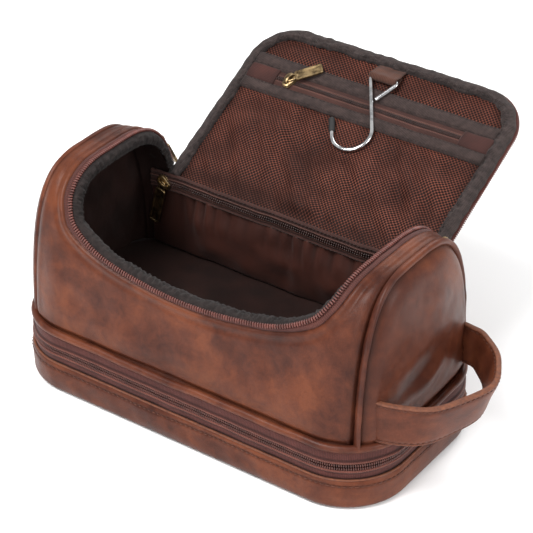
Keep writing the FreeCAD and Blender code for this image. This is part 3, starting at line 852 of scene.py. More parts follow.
def build_end(name):
    side, seam_depth, bead_radius, bead_lift = ENDS[name]
    fan, t = end_fan(side, SEAM_X + 1.0, END_DEPTH - 1.0, 0.0, 70, 260)
    y, z = fan[..., 1], fan[..., 2]
    seam = (1 - t)[:, None] * FAN_LENGTH
    foot = z - BODY_LOW
    height = body_relief(fan, 51 + side) * 1.15 * ramp(seam, 1, 12) * ramp(foot, 2, 14)
    height += sum(crease(y, z, *line) for line in CREASES[name])
    height -= seam_depth * bell(seam, 2.0) + 1.4 * bell(foot, 1.7, 5.0)
    height += 0.4 * bell(seam, 3.0, 6.0)
    fan[..., 0] += side * height
    shade = 0.7 * bell(seam, 2.0) + 0.15 * bell(seam, 6) + 0.7 * bell(foot, 1.6, 5.0)
    shade = shade - 0.05 * np.minimum(height, 0) * ramp(seam, 4, 9)
    panel = grid(name + "_end", fan, END_LEATHER, thick=BODY_THICK, out=(side, 0, 0), shade=shade)
    dress(panel, "leather", name + "_end_panel", body="body")

    a = np.linspace(2.0, ARCH_LENGTH - 2.0, 420)
    x = np.full(len(a), side * SEAM_X)
    path = surface(x, a)
    swell = 1 + 0.05 * wobble(path, 14, 55)
    tube = ring_section(bead_radius, bead_radius, 16)[:, None] * swell[None, :, None] + (0, bead_lift)
    piping = sweep(name + "_end_bead", path, same((side, 0, 0), path), surface_normal(x, a), tube, PIPING)
    dress(piping, "leather", name + "_end_piping", body="body")


def build_bottom_piping():
    path, out = plan_loop(BODY_X, BODY_Y, BODY_R)
    path = path + UP * (0.55 * wobble(path, 52, 57))[:, None]
    section = ring_section(2.35, 2.35, 16, at=(0.35, 40.4))
    piping = sweep("bottom_bead", path, out, same(UP, path), section, PIPING, closed=True)
    dress(piping, "leather", "bottom_piping", body="body")


# ---------------------------------------------------------------- opening

# Rows of the tape as (in from the gap, height, share of the gap), and of the flange as (in, height).
RIM_TAPE_ROWS = [(-1.0, -1.9, 1), (-0.75, -1.1, 1), (-0.35, -0.35, 1), (0.0, 0.15, 0.8), (0.0, 0.35, 0.6),
                 (0.0, -0.1, 0.42), (-1.0, -0.35, 0), (0.2, -0.6, 0), (0.7, -1.5, 0)]
FLANGE_ROWS = [(0.8, -0.6), (1.6, -1.1), (2.8, -2.1), (3.7, -3.8), (3.9, -5.8), (3.4, -7.8)]


def build_rim_zip():
    section = [spline([(q - share * gap, n) for q, n, share in RIM_TAPE_ROWS], 4) for gap in RIM_GAP]
    section = np.stack(section, 1)
    points = swept(RIM, RIM_Q, RIM_N, section)
    points += RIM_N[None] * (0.18 * wobble(points, 17, 61))[..., None]
    shade = 0.8 * bell(section[..., 0] + RIM_GAP + 0.7, 0.6) + 0.7 * bell(section[..., 0] + 0.9, 0.5)
    tape = grid("opening_tape", points, RIM_TAPE, thick=0.7, out=RIM_N[None], shade=shade)
    dress(tape, "zip_tape", "opening_zip_tape", body="body")
    row = RIM - RIM_Q * 0.1 + RIM_N * 0.5
    tooth = bead(0.55, 1.6, 0.95)
    teeth = scatter_along("opening_teeth", tooth, row, along(row, RIM_PITCH), RIM_N, RIM_TEETH, RIM_T)
    dress(teeth, "zip_coil", "opening_coil", body="body")


def build_flange():
    """The dark binding that stands in from the rim, puckered all round."""
    length = arc_length(RIM)
    rows = spline(FLANGE_ROWS, 5)
    share = np.linspace(0, 1, len(rows))[:, None]
    pucker = np.sin(2 * math.pi * length / 3.3 + 1.6 * np.sin(length / 9.0))
    pucker *= 0.75 + 0.5 * np.sin(length / 13.7)
    crumple = wobble_of(4.6, 64, length[None], share * 9.0, waves=20)
    lift = (0.4 * pucker[None] + 0.32 * crumple) * ramp(share, 0.1, 0.6)
    lift += 0.5 * wobble(RIM, 22, 63)[None] * share
    points = swept(RIM, RIM_Q, RIM_N, rows[:, None] + lift[..., None] * (1, 0.3))
    shade = 0.5 * bell(share, 0.05, 0.75) + 0.35 * (pucker[None] < -0.4) * share
    flange = grid("opening_flange", points, FLANGE, thick=0.7, out=RIM_N[None] + RIM_Q[None], shade=shade)
    dress(flange, "binding", "opening_binding", body="body")


# ---------------------------------------------------------------- back pocket

POCKET_X, POCKET_Y, POCKET_LOW, POCKET_HIGH = 106, 49.5, 42.0, 84.0
POCKET_ZIP_Y, POCKET_ZIP_Z = 49.3, 88.5
POCKET_ZIP = [(0.6, -6.2), (-0.6, -5.6), (-0.9, -4.9), (-0.4, -4.2), (-0.4, -3.1), (-1.1, -2.3), (-0.5, -1.7),
              (-0.3, 0.0), (-0.5, 1.7), (-1.1, 2.3), (-0.4, 3.1), (-0.4, 4.2), (-0.8, 5.0), (0.4, 6.2)]
FORWARD = (0, -1.0, 0)
POCKET_STITCH = (0.95, 0.26, 0.24)


def build_pocket_cloth():
    px, pz = np.meshgrid(np.linspace(-POCKET_X, POCKET_X, 360), np.linspace(POCKET_LOW, POCKET_HIGH, 46))
    depth = POCKET_HIGH - POCKET_LOW
    side = ramp(-px, 66, 84) + ramp(px, 88, 108)
    flow = px + 3.0 * np.sin(pz / 17.0) + 2.0 * np.sin(px / 19.0)
    pleat = np.sin(2 * math.pi * flow / 24.0 + 0.9 * np.sin(px / 31.0))
    pleat += 0.5 * np.sin(2 * math.pi * flow / 13.0 + 0.6)
    pleat *= 0.40 * (0.75 + 0.25 * np.sin(px / 23.0 + 1.0)) * (1 - 0.8 * side)
    pleat *= np.sin(math.pi * np.clip((pz - POCKET_LOW + 3) / (depth + 4), 0, 1)) ** 0.5
    belly = 3.4 * np.sin(math.pi * np.clip((pz - POCKET_LOW) / depth, 0, 1)) * (1 - side)
    tuck = np.sin(2 * math.pi * px / 10.5 + 1.9 * np.sin(px / 11.0))
    below_zip = bell(pz, 13, POCKET_HIGH - 5) * (0.7 + 0.3 * np.sin(px / 17.0)) * (1 - 0.7 * side)
    y = POCKET_Y - belly - pleat - 1.3 * tuck * below_zip - 0.6 * wobble_of(24, 71, px, pz) * (1 - side)
    shade = 0.5 * (1 - ramp(pz, POCKET_LOW, POCKET_LOW + 26)) + 0.35 * side
    shade += 0.75 * np.clip(-tuck, 0, 1) ** 1.5 * below_zip
    cloth = grid("back_pocket_cloth", np.stack([px, y, pz], -1), POCKET, thick=0.5, out=FORWARD, shade=shade)
    dress(cloth, "lining", "back_pocket_panel", body="body")


def build_pocket_zip():
    section = spline(POCKET_ZIP, 3)
    x = np.linspace(-POCKET_X, POCKET_X, 300)
    bow = POCKET_ZIP_Y - 0.8 * ramp(np.abs(x), 84, 110) + 0.3 * wobble(x[:, None], 25, 73)
    path = np.stack([x, bow, POCKET_ZIP_Z + 0.3 * wobble(x[:, None], 60, 74)], 1)
    z = section[:, 1:]
    copper = (np.abs(np.abs((z[:-1, 0] + z[1:, 0]) / 2) - 2.2) < 0.6).astype(int)
    shade = 0.8 * bell(np.abs(z), 0.5, 1.5) + 0.5 * bell(np.abs(z), 0.5, 3.2)
    tape = sweep("back_pocket_tape", path, same((0, 1, 0), path), same(UP, path), section, loop=False,
                 thick=0.6, out=FORWARD, slots=copper, materials=(POCKET_TAPE, POCKET_RIB), shade=shade)
    dress(tape, "zip_tape", "back_pocket_zip_tape", body="body")
    out = same(FORWARD, path)
    sides = ((-1, "a"), (1, "b"))
    for k, label in sides:
        row = path[10:-10] + (0, -1.25, 0.75 * k)
        places = along(row, POCKET_PITCH, start=POCKET_PITCH / 2 * (k > 0))
        teeth = scatter_along("back_pocket_teeth_" + label, bead(0.52, 0.85, 0.9), row, places, out, TEETH,
                              same((1, 0, 0), row))
        dress(teeth, "zip_coil", "back_pocket_coil", body="body")
    for k, label in sides:
        row = (path + (0, -1.15, 4.9 * k))[6:-6]
        name = "back_pocket_stitches_" + label
        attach(stitch_row(name, row, out[6:-6], DARK_THREAD, 2.6, POCKET_STITCH), "body")


# ---------------------------------------------------------------- handle

# The strap's upper edge from front to back as (x, y, z), and the height of its lower edge at each point.
HANDLE_TOP = [(110, -48, 70.6), (116.5, -45.6, 70.4), (127, -43.5, 69.9), (146, -35, 69.8), (158, -16, 69.9),
              (163.2, 4, 70.0), (155, 25, 70.4), (137, 41, 71.4), (127, 43.6, 71.8), (117, 45, 71.6),
              (112, 46, 71.2)]
HANDLE_LOW_Z = [43.2, 43.0, 43.0, 42.8, 43.0, 43.4, 44.4, 45.6, 46.2, 46.4, 46.6]
HANDLE_X = 117
HANDLE_HALF_THICK = 1.75
HANDLE_STITCH = 0.86
HANDLE_MIDDLE = (118, 0, 57)


def build_handle():
    top = np.array(HANDLE_TOP, float)
    low = np.column_stack([HANDLE_X + (top[:, 0] - HANDLE_X) * 0.80, top[:, 1] * 0.985, HANDLE_LOW_Z])
    top, low = (resample(spline(edge), 190) for edge in (top, low))
    middle = (top + low) / 2
    height = np.linalg.norm(top - low, axis=1) / 2
    up = unit(top - low)
    out = unit(np.cross(tangents(middle), up))
    out *= np.sign((out * (middle - HANDLE_MIDDLE)).sum(1, keepdims=True))
    wave = 0.45 * wobble(middle, 34, 81)
    base = ring_section(1.0, 1.0, 44, 9.0)
    across = np.abs(base[:, 1:])
    dome = 0.5 * (1 - across**4) - 0.4 * bell(across, 0.05, HANDLE_STITCH)
    thick = base[:, :1] * HANDLE_HALF_THICK + np.sign(base[:, :1]) * dome * (np.abs(base[:, :1]) > 0.5)
    points = swept(middle, up, out, np.dstack([base[:, 1:] * height[None], thick + wave[None] * across]))
    edge = across[:, 0] > 0.93
    share = arc_length(middle) / arc_length(middle)[-1]
    # Painted shade: darker along the stitch lines and at both ends of the strap.
    painted_shade = np.clip(0.5 * bell(across, 0.05, HANDLE_STITCH) + 0.5 * bell(share, 0.05)[None], 0, 1)
    painted_shade = np.pad(painted_shade + 0.4 * bell(share, 0.05, 1.0)[None], ((0, 0), (1, 1)), "edge")
    strap = grid("handle_leather", capped(points, 0.03), wrap=(True, False), shade=painted_shade,
                 slots=(edge & np.roll(edge, -1)).astype(int), materials=(STRAP_LEATHER, RAW_EDGE))
    pieces = [dress(strap, "leather", "handle_strap", "handle_backing", "handle_end_tabs")]
    for face, label in ((1, "outer"), (-1, "inner")):
        for level, place in ((HANDLE_STITCH, "top"), (-HANDLE_STITCH, "low")):
            row = middle + up * (height * level)[:, None]
            row += out * (face * (HANDLE_HALF_THICK + 0.05) + wave * HANDLE_STITCH)[:, None]
            name = "handle_stitches_" + label + "_" + place
            pieces.append(stitch_row(name, row[8:-8], out[8:-8] * face, THREAD))
    for piece in pieces:
        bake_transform(piece)


# ---------------------------------------------------------------- lid

HINGE = np.array([0, 55.0, 97.0])
SLOPE = math.radians(28)
LID_X = np.array([1.0, 0, 0])
LID_S = np.array([0, math.cos(SLOPE), math.sin(SLOPE)])
LID_H = np.array([0, -math.sin(SLOPE), math.cos(SLOPE)])
LID_HALF, LID_LENGTH, LID_R = 93.0, 119.0, 28.0
BORDER = 6.6
SPLITS = (12.0, 60.0)
# How far the cover reaches past the lid's outline, where its round end starts, and the length of that.
COVER_OUT, COVER_STRAIGHT, COVER_ROUND = 1.2, 91, 29.2
# The bodies on both sides of each leaf's joint, and where along the lid its bend starts and ends.
BENDS = {"back": ("body", "lid_back", -1.0, 9.0), "mid": ("lid_back", "lid_mid", 17.0, 31.0),
         "front": ("lid_mid", "lid_front", 99.5, 111.5)}
LEAF_SPANS = dict(zip(BENDS, ((-1e9, SPLITS[0]), SPLITS, (SPLITS[1], 1e9))))


def lid_place(x, s, h):
    """Points from steps across the lid, up the lid from its hinge and out of its inner face."""
    x, s, h = np.broadcast_arrays(x, s, h)
    return x[..., None] * LID_X + s[..., None] * LID_S + h[..., None] * LID_H + HINGE


def lid_level(points):
    """How far points are from the hinge, up the lid."""
    return (points - HINGE) @ LID_S


def lid_half(s, grow=0.0):
    """Half the lid's width at s, with its outline moved out by grow."""
    radius, half, end = LID_R + grow, LID_HALF + grow, LID_LENGTH + grow
    reach = np.clip(s - (end - radius), 0, radius)
    return half - radius + np.sqrt(np.maximum(radius**2 - reach**2, 0))


def lid_path(first, step=1.3):
    """The lid's outline in (x, s), from the left round the free edge to the right, and its normals."""
    x, s = LID_HALF - LID_R, LID_LENGTH - LID_R
    marks = [(-LID_HALF, v) for v in (first, *SPLITS)]
    corners = []
    for side, start, end in ((-1, 180, 90), (1, 90, 0)):
        turn = np.radians(np.linspace(start, end, 40))
        corners.append(np.stack([side * x + LID_R * np.cos(turn), s + LID_R * np.sin(turn)], 1))
    points = np.vstack([marks, *corners, [(-p, v) for p, v in marks[::-1]]])
    flat = resample(points, int(arc_length(points)[-1] / step))
    for mark in SPLITS:
        for side in (-1, 1):
            near = np.argmin(np.hypot(flat[:, 0] - side * LID_HALF, flat[:, 1] - mark))
            flat[near] = (side * LID_HALF, mark)
    normal = unit(flat - np.stack([np.clip(flat[:, 0], -x, x), np.minimum(flat[:, 1], s)], 1))
    return flat, normal


def lid_sweep(name, first, section, material, lift, shift=None, shade=None, thick=0.0):
    """Section rows are (distance in from the lid's edge, height above its inner face)."""
    path, normal = lid_path(first)
    rows = np.asarray(section, float)
    d = rows[:, :1]
    x, s = (path - normal * (d + (shift(d, path) if shift else 0))[..., None]).transpose(2, 0, 1)
    points = lid_place(x, s, rows[:, 1:] + lift(d, path))
    return grid(name, points, material, thick=thick, out=LID_H, shade=shade(d))


def lid_rows(first, last, step):
    """Distances from the hinge about a step apart, with one at each split between leaves."""
    rows = np.linspace(first, last, max(2, int((last - first) / step) + 1))
    for mark in SPLITS:
        if first < mark < last:
            rows[np.argmin(abs(rows - mark))] = mark
    return rows


def bend(piece, leaf):
    """Bakes a piece of one leaf in place. Where that leaf's bend starts and ends is worked out but not used.
    """
    below, above, start, end = BENDS[leaf]
    lid_place(0.0, start, 0.0) * MM
    lid_place(0.0, end, 0.0) * MM
    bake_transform(piece)


def split_lid(piece, node_names):
    """Cuts a full-length lid piece at places that one body carries, hides the CAD nodes each part stands for,
    and bakes each part in place.
    """
    mesh = piece.data
    count = len(mesh.vertices)
    points, shade, uv = np.zeros(count * 3), np.zeros(count), np.zeros(len(mesh.loops) * 2)
    mesh.vertices.foreach_get("co", points)
    mesh.uv_layers[0].data.foreach_get("uv", uv)
    points, uv = points.reshape(-1, 3) / MM, uv.reshape(-1, 2)
    if "shade" in mesh.attributes:
        mesh.attributes["shade"].data.foreach_get("value", shade)
    normals = np.array([v.vector for v in mesh.vertex_normals])
    level = np.array([lid_level(points[list(p.vertices)]).mean() for p in mesh.polygons])
    made = []
    for leaf, (low, high) in LEAF_SPANS.items():
        mine = [p for p, v in zip(mesh.polygons, level) if low <= v < high]
        if not mine:
            continue
        used = sorted({v for p in mine for v in p.vertices})
        index = {v: i for i, v in enumerate(used)}
        faces = [[index[v] for v in p.vertices] for p in mine]
        corner_uv = np.concatenate([uv[p.loop_start : p.loop_start + p.loop_total] for p in mine]) * 10
        part = make_mesh(piece.name + "_" + leaf, points[used], faces, None, corner_uv, shade[used],
                         [p.material_index for p in mine], list(mesh.materials))
        part.data.normals_split_custom_set_from_vertices(normals[used].tolist())
        if leaf in node_names:
            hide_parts(*node_names[leaf])
        bend(part, leaf)
        made.append(part)
    bpy.data.objects.remove(piece)
    return made


def leaf_nodes(kind, leaves=tuple(BENDS)):
    return {leaf: ["lid_" + leaf + "_" + kind] for leaf in leaves}


def build_lid_leather():
    end = COVER_STRAIGHT + COVER_ROUND * np.sin(np.linspace(0.04, math.pi / 2, 26))
    s = np.r_[lid_rows(-3.0, COVER_STRAIGHT, 1.6), end][:, None]
    u = np.sin(np.linspace(-1, 1, 130) * math.pi / 2 * 0.94) / math.sin(math.pi / 2 * 0.94)
    x = u[None] * lid_half(s, COVER_OUT)
    s = s + 0 * x
    inner_x, inner_s = LID_HALF - LID_R, LID_LENGTH - LID_R
    side = LID_HALF + COVER_OUT - np.abs(x)
    corner = LID_R + COVER_OUT - np.hypot(np.maximum(np.abs(x) - inner_x, 0), np.maximum(s - inner_s, 0))
    edge = np.where(s > inner_s, corner, side)
    crown = np.sin(np.clip(s / LID_LENGTH, 0, 1) * math.pi) ** 0.7 * np.sqrt(np.clip(edge / 60, 0, 1))
    h = -4.4 - 3.6 * (1 - np.exp(-np.maximum(edge, 0) / 2.2)) * ramp(s, 0, 16) - 4.2 * crown
    relief = body_relief(lid_place(x, s, h), 91)
    h -= relief * ramp(edge, 1, 10) * ramp(s, 2, 16) * 1.2 - 0.9 * bell(edge, 1.0, 5.0)
    shade = 0.6 * bell(edge, 1.2, 5.0) + 0.4 * bell(edge, 1.2)
    points = lid_place(x, s, h)
    outer = grid("lid_leather", points, LEATHER, thick=LEATHER_THICK, out=-LID_H, shade=shade)
    for part in split_lid(outer, leaf_nodes("leather")):
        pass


LID_BAND = [(1.6, -1.2), (0.2, -2.4), (-1.0, -3.0), (-1.7, -3.6), (-1.6, -4.3), (-1.2, -4.9), (0.2, -5.6)]
LID_BINDING = [(1.5, -4.6), (-0.2, -3.4), (-0.9, -1.9), (-0.7, -0.3), (0.3, 0.9), (1.8, 1.6), (3.6, 1.8),
               (5.2, 1.6), (6.3, 1.1), (7.0, 0.4), (7.4, -0.7)]
TEETH_FROM, TEETH_SPLIT, TEETH_TO = 14.0, 100.0, 200.0


def build_lid_zip():
    def unrest(d, path):
        return 0.3 * wobble(path[None], 26, 93) + 0 * d

    tape = lid_sweep("lid_tape", -2.0, spline(LID_BAND, 4), TAPE, unrest, thick=0.5,
                     shade=lambda d: 0.5 * bell(d, 0.6, 0.4))
    split_lid(tape, leaf_nodes("zip_tape", ("mid", "front")))
    path, normal = lid_path(TEETH_FROM)
    out = lid_place(*normal.T, 0.0) - HINGE
    row = lid_place(*path.T, 0.0) + out * 1.9 - LID_H * 3.9
    for leaf, low, high in (("mid", TEETH_FROM, TEETH_SPLIT), ("front", TEETH_SPLIT, TEETH_TO)):
        places = along(row, LID_PITCH)
        level = lid_level(pick(row, places))
        places = places[(level >= low) & (level < high)]
        teeth = scatter_along("lid_teeth_" + leaf, bead(0.42, 0.8, 0.6), row, places, out, RIM_TEETH)
        bend(dress(teeth, "zip_coil", "lid_" + leaf + "_coil"), leaf)


def build_lid_binding():
    path = lid_path(-6.0)[0]
    length = arc_length(path)

    def gather(d, path):
        inward = ramp(d, 1.5, 5.6) * (1 - 0.4 * ramp(d, 6.4, 7.4))
        tight = np.sin(2 * math.pi * length / 3.4 + 1.7 * np.sin(length / 8.0))[None]
        lumps = wobble_of(5.5, 97, path[None, :, 0], path[None, :, 1], d * 2.0, waves=20)
        loose = 0.55 * wobble(path[None], 20, 95) * ramp(d, -1, 3)
        return inward * (0.40 * tight + 0.55 * lumps + 0.15) + loose

    def waver(d, path):
        return 0.5 * wobble(path[None], 30, 96) * ramp(d, 3, 7) + 0.3 * wobble(path[None], 9, 98)

    binding = lid_sweep("lid_binding", -6.0, spline(LID_BINDING, 4), BINDING, gather, waver, thick=0.6,
                        shade=lambda d: 0.3 * bell(d, 0.5, 5.7) + 0.5 * bell(d, 0.6, 7.2))
    split_lid(binding, leaf_nodes("binding"))
    path, normal = lid_path(-2.0)
    inner = path - normal * 5.8
    row = lid_place(*inner.T, 1.75 + 0.55 * wobble(inner, 20, 95))
    places = along(row, 2.9)
    level = lid_level(pick(row, places))
    for leaf, (low, high) in LEAF_SPANS.items():
        mine = places[(level >= low) & (level < high)]
        x = unit(pick(tangents(row), mine))
        z = same(LID_H, mine)
        template = bead(1.0, 0.25, 0.22)
        name = "lid_binding_stitches_" + leaf
        bend(scatter(name, template, pick(row, mine), x, np.cross(z, x), z, DARK_THREAD), leaf)


# The net lies flat under the hook: its middle, and the distances where that ends.
HOOK_MIDDLE = (1.0, 63.0)
HOOK_PRESS = (17, 34)
# Name, first and last row, strength of the folds, and each leaf's flat size and the CAD nodes it stands for.
NETS = (
    ("lid_net", -5.6, 70.0, 1.25,
     {"back": (0.169, 0.0177), "mid": (0.169, 0.048), "front": (0.169, 0.0101)},
     {"back": ["lid_back_mesh"], "mid": ["lid_mid_mesh", "lid_mid_padding"]}),
    ("lid_net_top", 94.0, 112.5, 0.5, {"front": (0.169, 0.017)}, {"front": ["lid_front_mesh"]}),
)


def lid_folds(x, s, seed):
    """Loose folds of the net, mostly running down the lid."""
    down, over = x * 0.85 + s * 0.6, s * 0.8 - x * 0.3
    return 0.9 * wobble_of(38, seed, down, over) + 0.4 * wobble_of(17, seed + 1, down * 1.3, over * 0.7)


def build_lid_net():
    for name, first, last, strength, flats, nodes in NETS:
        s = lid_rows(first, last, 1.05)[:, None]
        half = lid_half(s, -BORDER)
        x = np.linspace(-1, 1, 190)[None] * half
        s = s + 0 * x
        edge = half - np.abs(x)
        free = ramp(edge, 0, 16) * ramp(s - first, 0, 10) * ramp(last - s, 0, 9)
        folds = lid_folds(x, s, 101)
        h = -0.9 + free * strength * (1.3 + 1.6 * folds)
        pressed = 1 - ramp(np.hypot(x - HOOK_MIDDLE[0], s - HOOK_MIDDLE[1]), *HOOK_PRESS)
        h -= pressed * np.maximum(h - 0.1, 0)
        shade = 0.5 * (1 - ramp(edge, 0, 6)) + 0.3 * np.clip(-folds, 0, 1) * free + 0.55 * bell(s, 7, -2)
        cloth = grid(name, lid_place(x, s, h), NET, uv=np.stack([x, s], -1), out=LID_H, shade=shade)
        split_lid(cloth, nodes)


# ---------------------------------------------------------------- lid pocket

POCKET_INNER = LID_HALF - BORDER
POCKET_COLUMNS = np.linspace(-POCKET_INNER, POCKET_INNER, 240)
ZIP_S = 81
PATCH_FROM = 67.0
# Sections of the parts as (distance from the hinge, height above the lid's inner face).
WEBBINGS = {
    "lower": [(67.8, -0.6), (68.3, 0.5), (69.2, 1.1), (71.0, 1.35), (73.4, 1.35), (75.0, 1.1), (75.8, 0.5),
              (76.1, -0.4)],
    "upper": [(85.9, -0.4), (86.3, 0.6), (87.2, 1.1), (89.5, 1.4), (92.0, 1.4), (94.2, 1.1), (95.1, 0.5),
              (95.6, -0.6)],
}
LID_ZIP = [(74.8, -0.5), (76.6, 0.15), (78.2, 0.35), (79.3, 0.5), (79.8, 0.3), (81, 0.2), (82.2, 0.3),
           (82.7, 0.5), (83.8, 0.35), (85.4, 0.15), (87.0, -0.5)]
WEBBING_TOP = 1.38
WEBBING_STITCH = (1.0, 0.25, 0.2)
PATCHES = [(75.2, 0.2), (76.2, 1.0), (78.5, 1.35), (81, 1.45), (83.5, 1.35), (86.0, 1.0), (87.0, 0.2)]


def pocket_line(x, s, h, wave=0.3):
    """Points across the lid at one distance or more, riding on the pocket's unevenness."""
    return lid_place(x, s, h + wave * wobble_of(30, 111, x, s))


def strip(name, rows, x, material=None, wave=0.3, thick=0.6, **more):
    """A band across the lid."""
    points = pocket_line(x[None], rows[:, :1], rows[:, 1:], wave)
    return grid(name, points, material, thick=thick, out=LID_H, **more)


def build_webbings():
    x = POCKET_COLUMNS
    for name, rows in WEBBINGS.items():
        # Painted shade: darker at both ends of each band, where it meets the binding.
        painted_shade = 0.5 * bell(np.abs(x), 2.5, POCKET_INNER)
        band = strip("lid_webbing_band_" + name, spline(rows, 3), x, WEBBING, shade=painted_shade)
        dress(band, "webbing", "lid_webbing_" + name, body="lid_mid")
        for label, (s, _) in zip("ab", (rows[2], rows[5])):
            line = pocket_line(x[6:-6], s, WEBBING_TOP)
            seam = "lid_webbing_stitches_" + name + "_" + label
            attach(stitch_row(seam, line, same(LID_H, line), DARK_THREAD, 2.7, WEBBING_STITCH), "lid_mid")


def build_lid_pocket():
    x = POCKET_COLUMNS
    rows = spline(LID_ZIP, 3)
    ridge = (np.abs(np.abs((rows[:-1, 0] + rows[1:, 0]) / 2 - ZIP_S) - 1.75) < 0.5).astype(int)
    tape = strip("lid_pocket_tape", rows, x[np.abs(x) < PATCH_FROM + 2], slots=ridge,
                 materials=(POCKET_TAPE, POCKET_RIB), shade=0.7 * bell(np.abs(rows[:, :1] - ZIP_S), 0.5, 1.2))
    dress(tape, "zip_tape", "lid_pocket_zip_tape", body="lid_mid")
    for k, label in enumerate("ab"):
        row = pocket_line(np.linspace(-66, 66, 120), ZIP_S + 1.2 * k - 0.6, 0.75)
        places = along(row, POCKET_PITCH, start=POCKET_PITCH / 2 * k)
        teeth = scatter_along("lid_pocket_teeth_" + label, bead(0.48, 0.7, 0.5), row, places,
                              same(LID_H, row), TEETH, same(LID_X, row))
        dress(teeth, "zip_coil", "lid_pocket_coil", body="lid_mid")
    patches = []
    for side in (-1, 1):
        columns = side * np.linspace(PATCH_FROM - 0.5, POCKET_INNER + 0.3, 34)
        # Painted shade: darker along the inner edge of each patch.
        painted_shade = 0.4 * bell(np.abs(columns), 1.4, PATCH_FROM + 0.5)
        patches.append(strip("patch", spline(PATCHES, 4), columns, PATCH, 0.4, 0.9, shade=painted_shade))
    dress(join("lid_pocket_patches", patches), "leather", "lid_pocket_end_patches", body="lid_mid")


# ---------------------------------------------------------------- hook

# The hook in the lid's (x, s). SHANK_WAY runs down its shank and BOW_WAY across to its tip.
HOOK_BAR, HOOK_SHANK, HOOK_BOW, HOOK_TIP = 20.4, 41.1, 12.4, 12.0
HOOK_CORNER = np.array([-8.6, 101.8])
HOOK_END = (3.8, 86.2)
SHANK_WAY, BOW_WAY = np.array([0.517, -0.856]), np.array([-0.856, -0.517])
CORNER_RADIUS = 1.8
# Height of the bar above the lid, and how much lower the wire is at a distance down the lid.
BAR_HEIGHT, WIRE_DROP, DROP_LENGTH = 3.2, 1.3, 53
WIRE_RADIUS, CAP_RADIUS, CAP_LENGTH, CAP_BACK = 1.3, 1.95, 10.6, 8.8
LOOP_SPAN = (-8.3, 10.6)
HOOK_LOOP = [(112.0, 0.7), (109.0, 2.3), (105.5, 4.0), (103.0, 5.4), (101.6, 5.9), (100.1, 5.2), (99.3, 3.6),
             (99.6, 1.9), (101.0, 0.9), (103.5, 0.9), (107.0, 1.0)]


def rounded_route(points, radius, step=0.5):
    """Straight runs with round corners."""
    points = [np.asarray(p, float) for p in points]
    out = [points[0]]
    for before, corner, after in zip(points, points[1:], points[2:]):
        u, v = unit(before - corner), unit(after - corner)
        half = math.acos(np.clip(u @ v, -1, 1)) / 2
        centre = corner + unit(u + v) * radius / math.sin(half)
        a, b = (unit(corner + way * radius / math.tan(half) - centre) for way in (u, v))
        turn = math.acos(np.clip(a @ b, -1, 1))
        t = np.linspace(0, 1, 10)[:, None]
        out.append(centre + radius * (a * np.sin((1 - t) * turn) + b * np.sin(t * turn)) / math.sin(turn))
    out = np.vstack([*out, points[-1]])
    return resample(out, int(arc_length(out)[-1] / step))


def wire_tube(name, path, radius, material):
    run = tangents(path)
    a = unit(np.cross(LID_H, run))
    tube = ring_section(1, 1, 20)[:, None] * np.broadcast_to(radius, len(path))[None, :, None]
    return sweep(name, path, a, unit(np.cross(run, a)), tube, material)


def build_hook():
    foot = HOOK_CORNER + SHANK_WAY * HOOK_SHANK
    centre = foot + BOW_WAY * HOOK_BOW
    turn = np.linspace(0, math.pi, 50)[1:-1, None]
    bow = centre - BOW_WAY * HOOK_BOW * np.cos(turn) + SHANK_WAY * HOOK_BOW * np.sin(turn)
    head = rounded_route([HOOK_END, HOOK_CORNER + (HOOK_BAR, 0), HOOK_CORNER, foot], CORNER_RADIUS)
    tip = foot + BOW_WAY * 2 * HOOK_BOW
    flat = resample(np.vstack([head, bow, tip, tip - SHANK_WAY * HOOK_TIP]), 330)
    flat[1:-1] = (flat[:-2] + 2 * flat[1:-1] + flat[2:]) / 4
    path = lid_place(*flat.T, BAR_HEIGHT - WIRE_DROP * (HOOK_CORNER[1] - flat[:, 1]) / DROP_LENGTH)
    dress(wire_tube("hook_steel", path, WIRE_RADIUS, STEEL), "steel", "hook_wire", body="hook")
    run = unit(path[-1] - path[-30])
    t = np.linspace(0, 1, 26)
    dome = np.sqrt(np.clip(1 - ((t - 0.84) / 0.16).clip(0, 1) ** 2, 0.02, 1))
    radius = CAP_RADIUS * dome * (0.86 + 0.14 * ramp(t, 0, 0.08))
    cap = wire_tube("hook_cap", path[-1] + run * (CAP_LENGTH * t - CAP_BACK)[:, None], radius, RUBBER)
    dress(cap, "rubber", "hook_tip_cap", body="hook")


def build_hook_loop():
    section = spline(HOOK_LOOP, 5)
    x, s, h = np.broadcast_arrays(np.linspace(*LOOP_SPAN, 40)[None], section[:, :1], section[:, 1:])
    points = lid_place(x, s, h + 0.25 * wobble_of(9, 121, x, s))
    shade = 0.4 * bell(np.abs(x - 1.15), 1.2, 9.4) + 0.5 * bell(s, 1.5, 109.5)
    loop = grid("hook_webbing", points, LOOP, thick=0.7, out=LID_H, shade=shade)
    dress(loop, "webbing", "hook_loop", body="lid_mid")


# ---------------------------------------------------------------- sliders and pulls

# A slider lies along X, with its narrow end at -X. Plates are stacks of rings as (inset, height).
SLIDER_HALF = [(5.0, 0), (4.7, 2.3), (3.2, 3.7), (0.6, 3.8), (-2.2, 2.9), (-4.6, 2.1), (-5.2, 0)]
SLIDER = spline(SLIDER_HALF + [(x, -y) for x, y in SLIDER_HALF[-2:0:-1]], 4, closed=True)
SLIDER_TOP = [(0.35, -1.75), (0, -1.5), (0, -1.0), (0.4, -0.72), (1.2, -0.62)]
SLIDER_UNDER = [(0.3, -3.1), (0, -2.8), (0, -2.5), (0.3, -2.3)]
BRIDGE = [(-3.6, 0, -0.9), (-3.3, 0, 0.2), (-2.2, 0, 1.1), (0, 0, 1.45), (2.2, 0, 1.1), (3.2, 0, 0.2),
          (3.5, 0, -0.9)]
TAB = [(0.3, -0.75), (0, -0.45), (0, 0.5), (0.25, 0.8), (1.0, 0.8), (1.3, 0.42), (2.2, 0.42)]
TAB_HALF = 3.6
SHARP_FROM = math.radians(50)
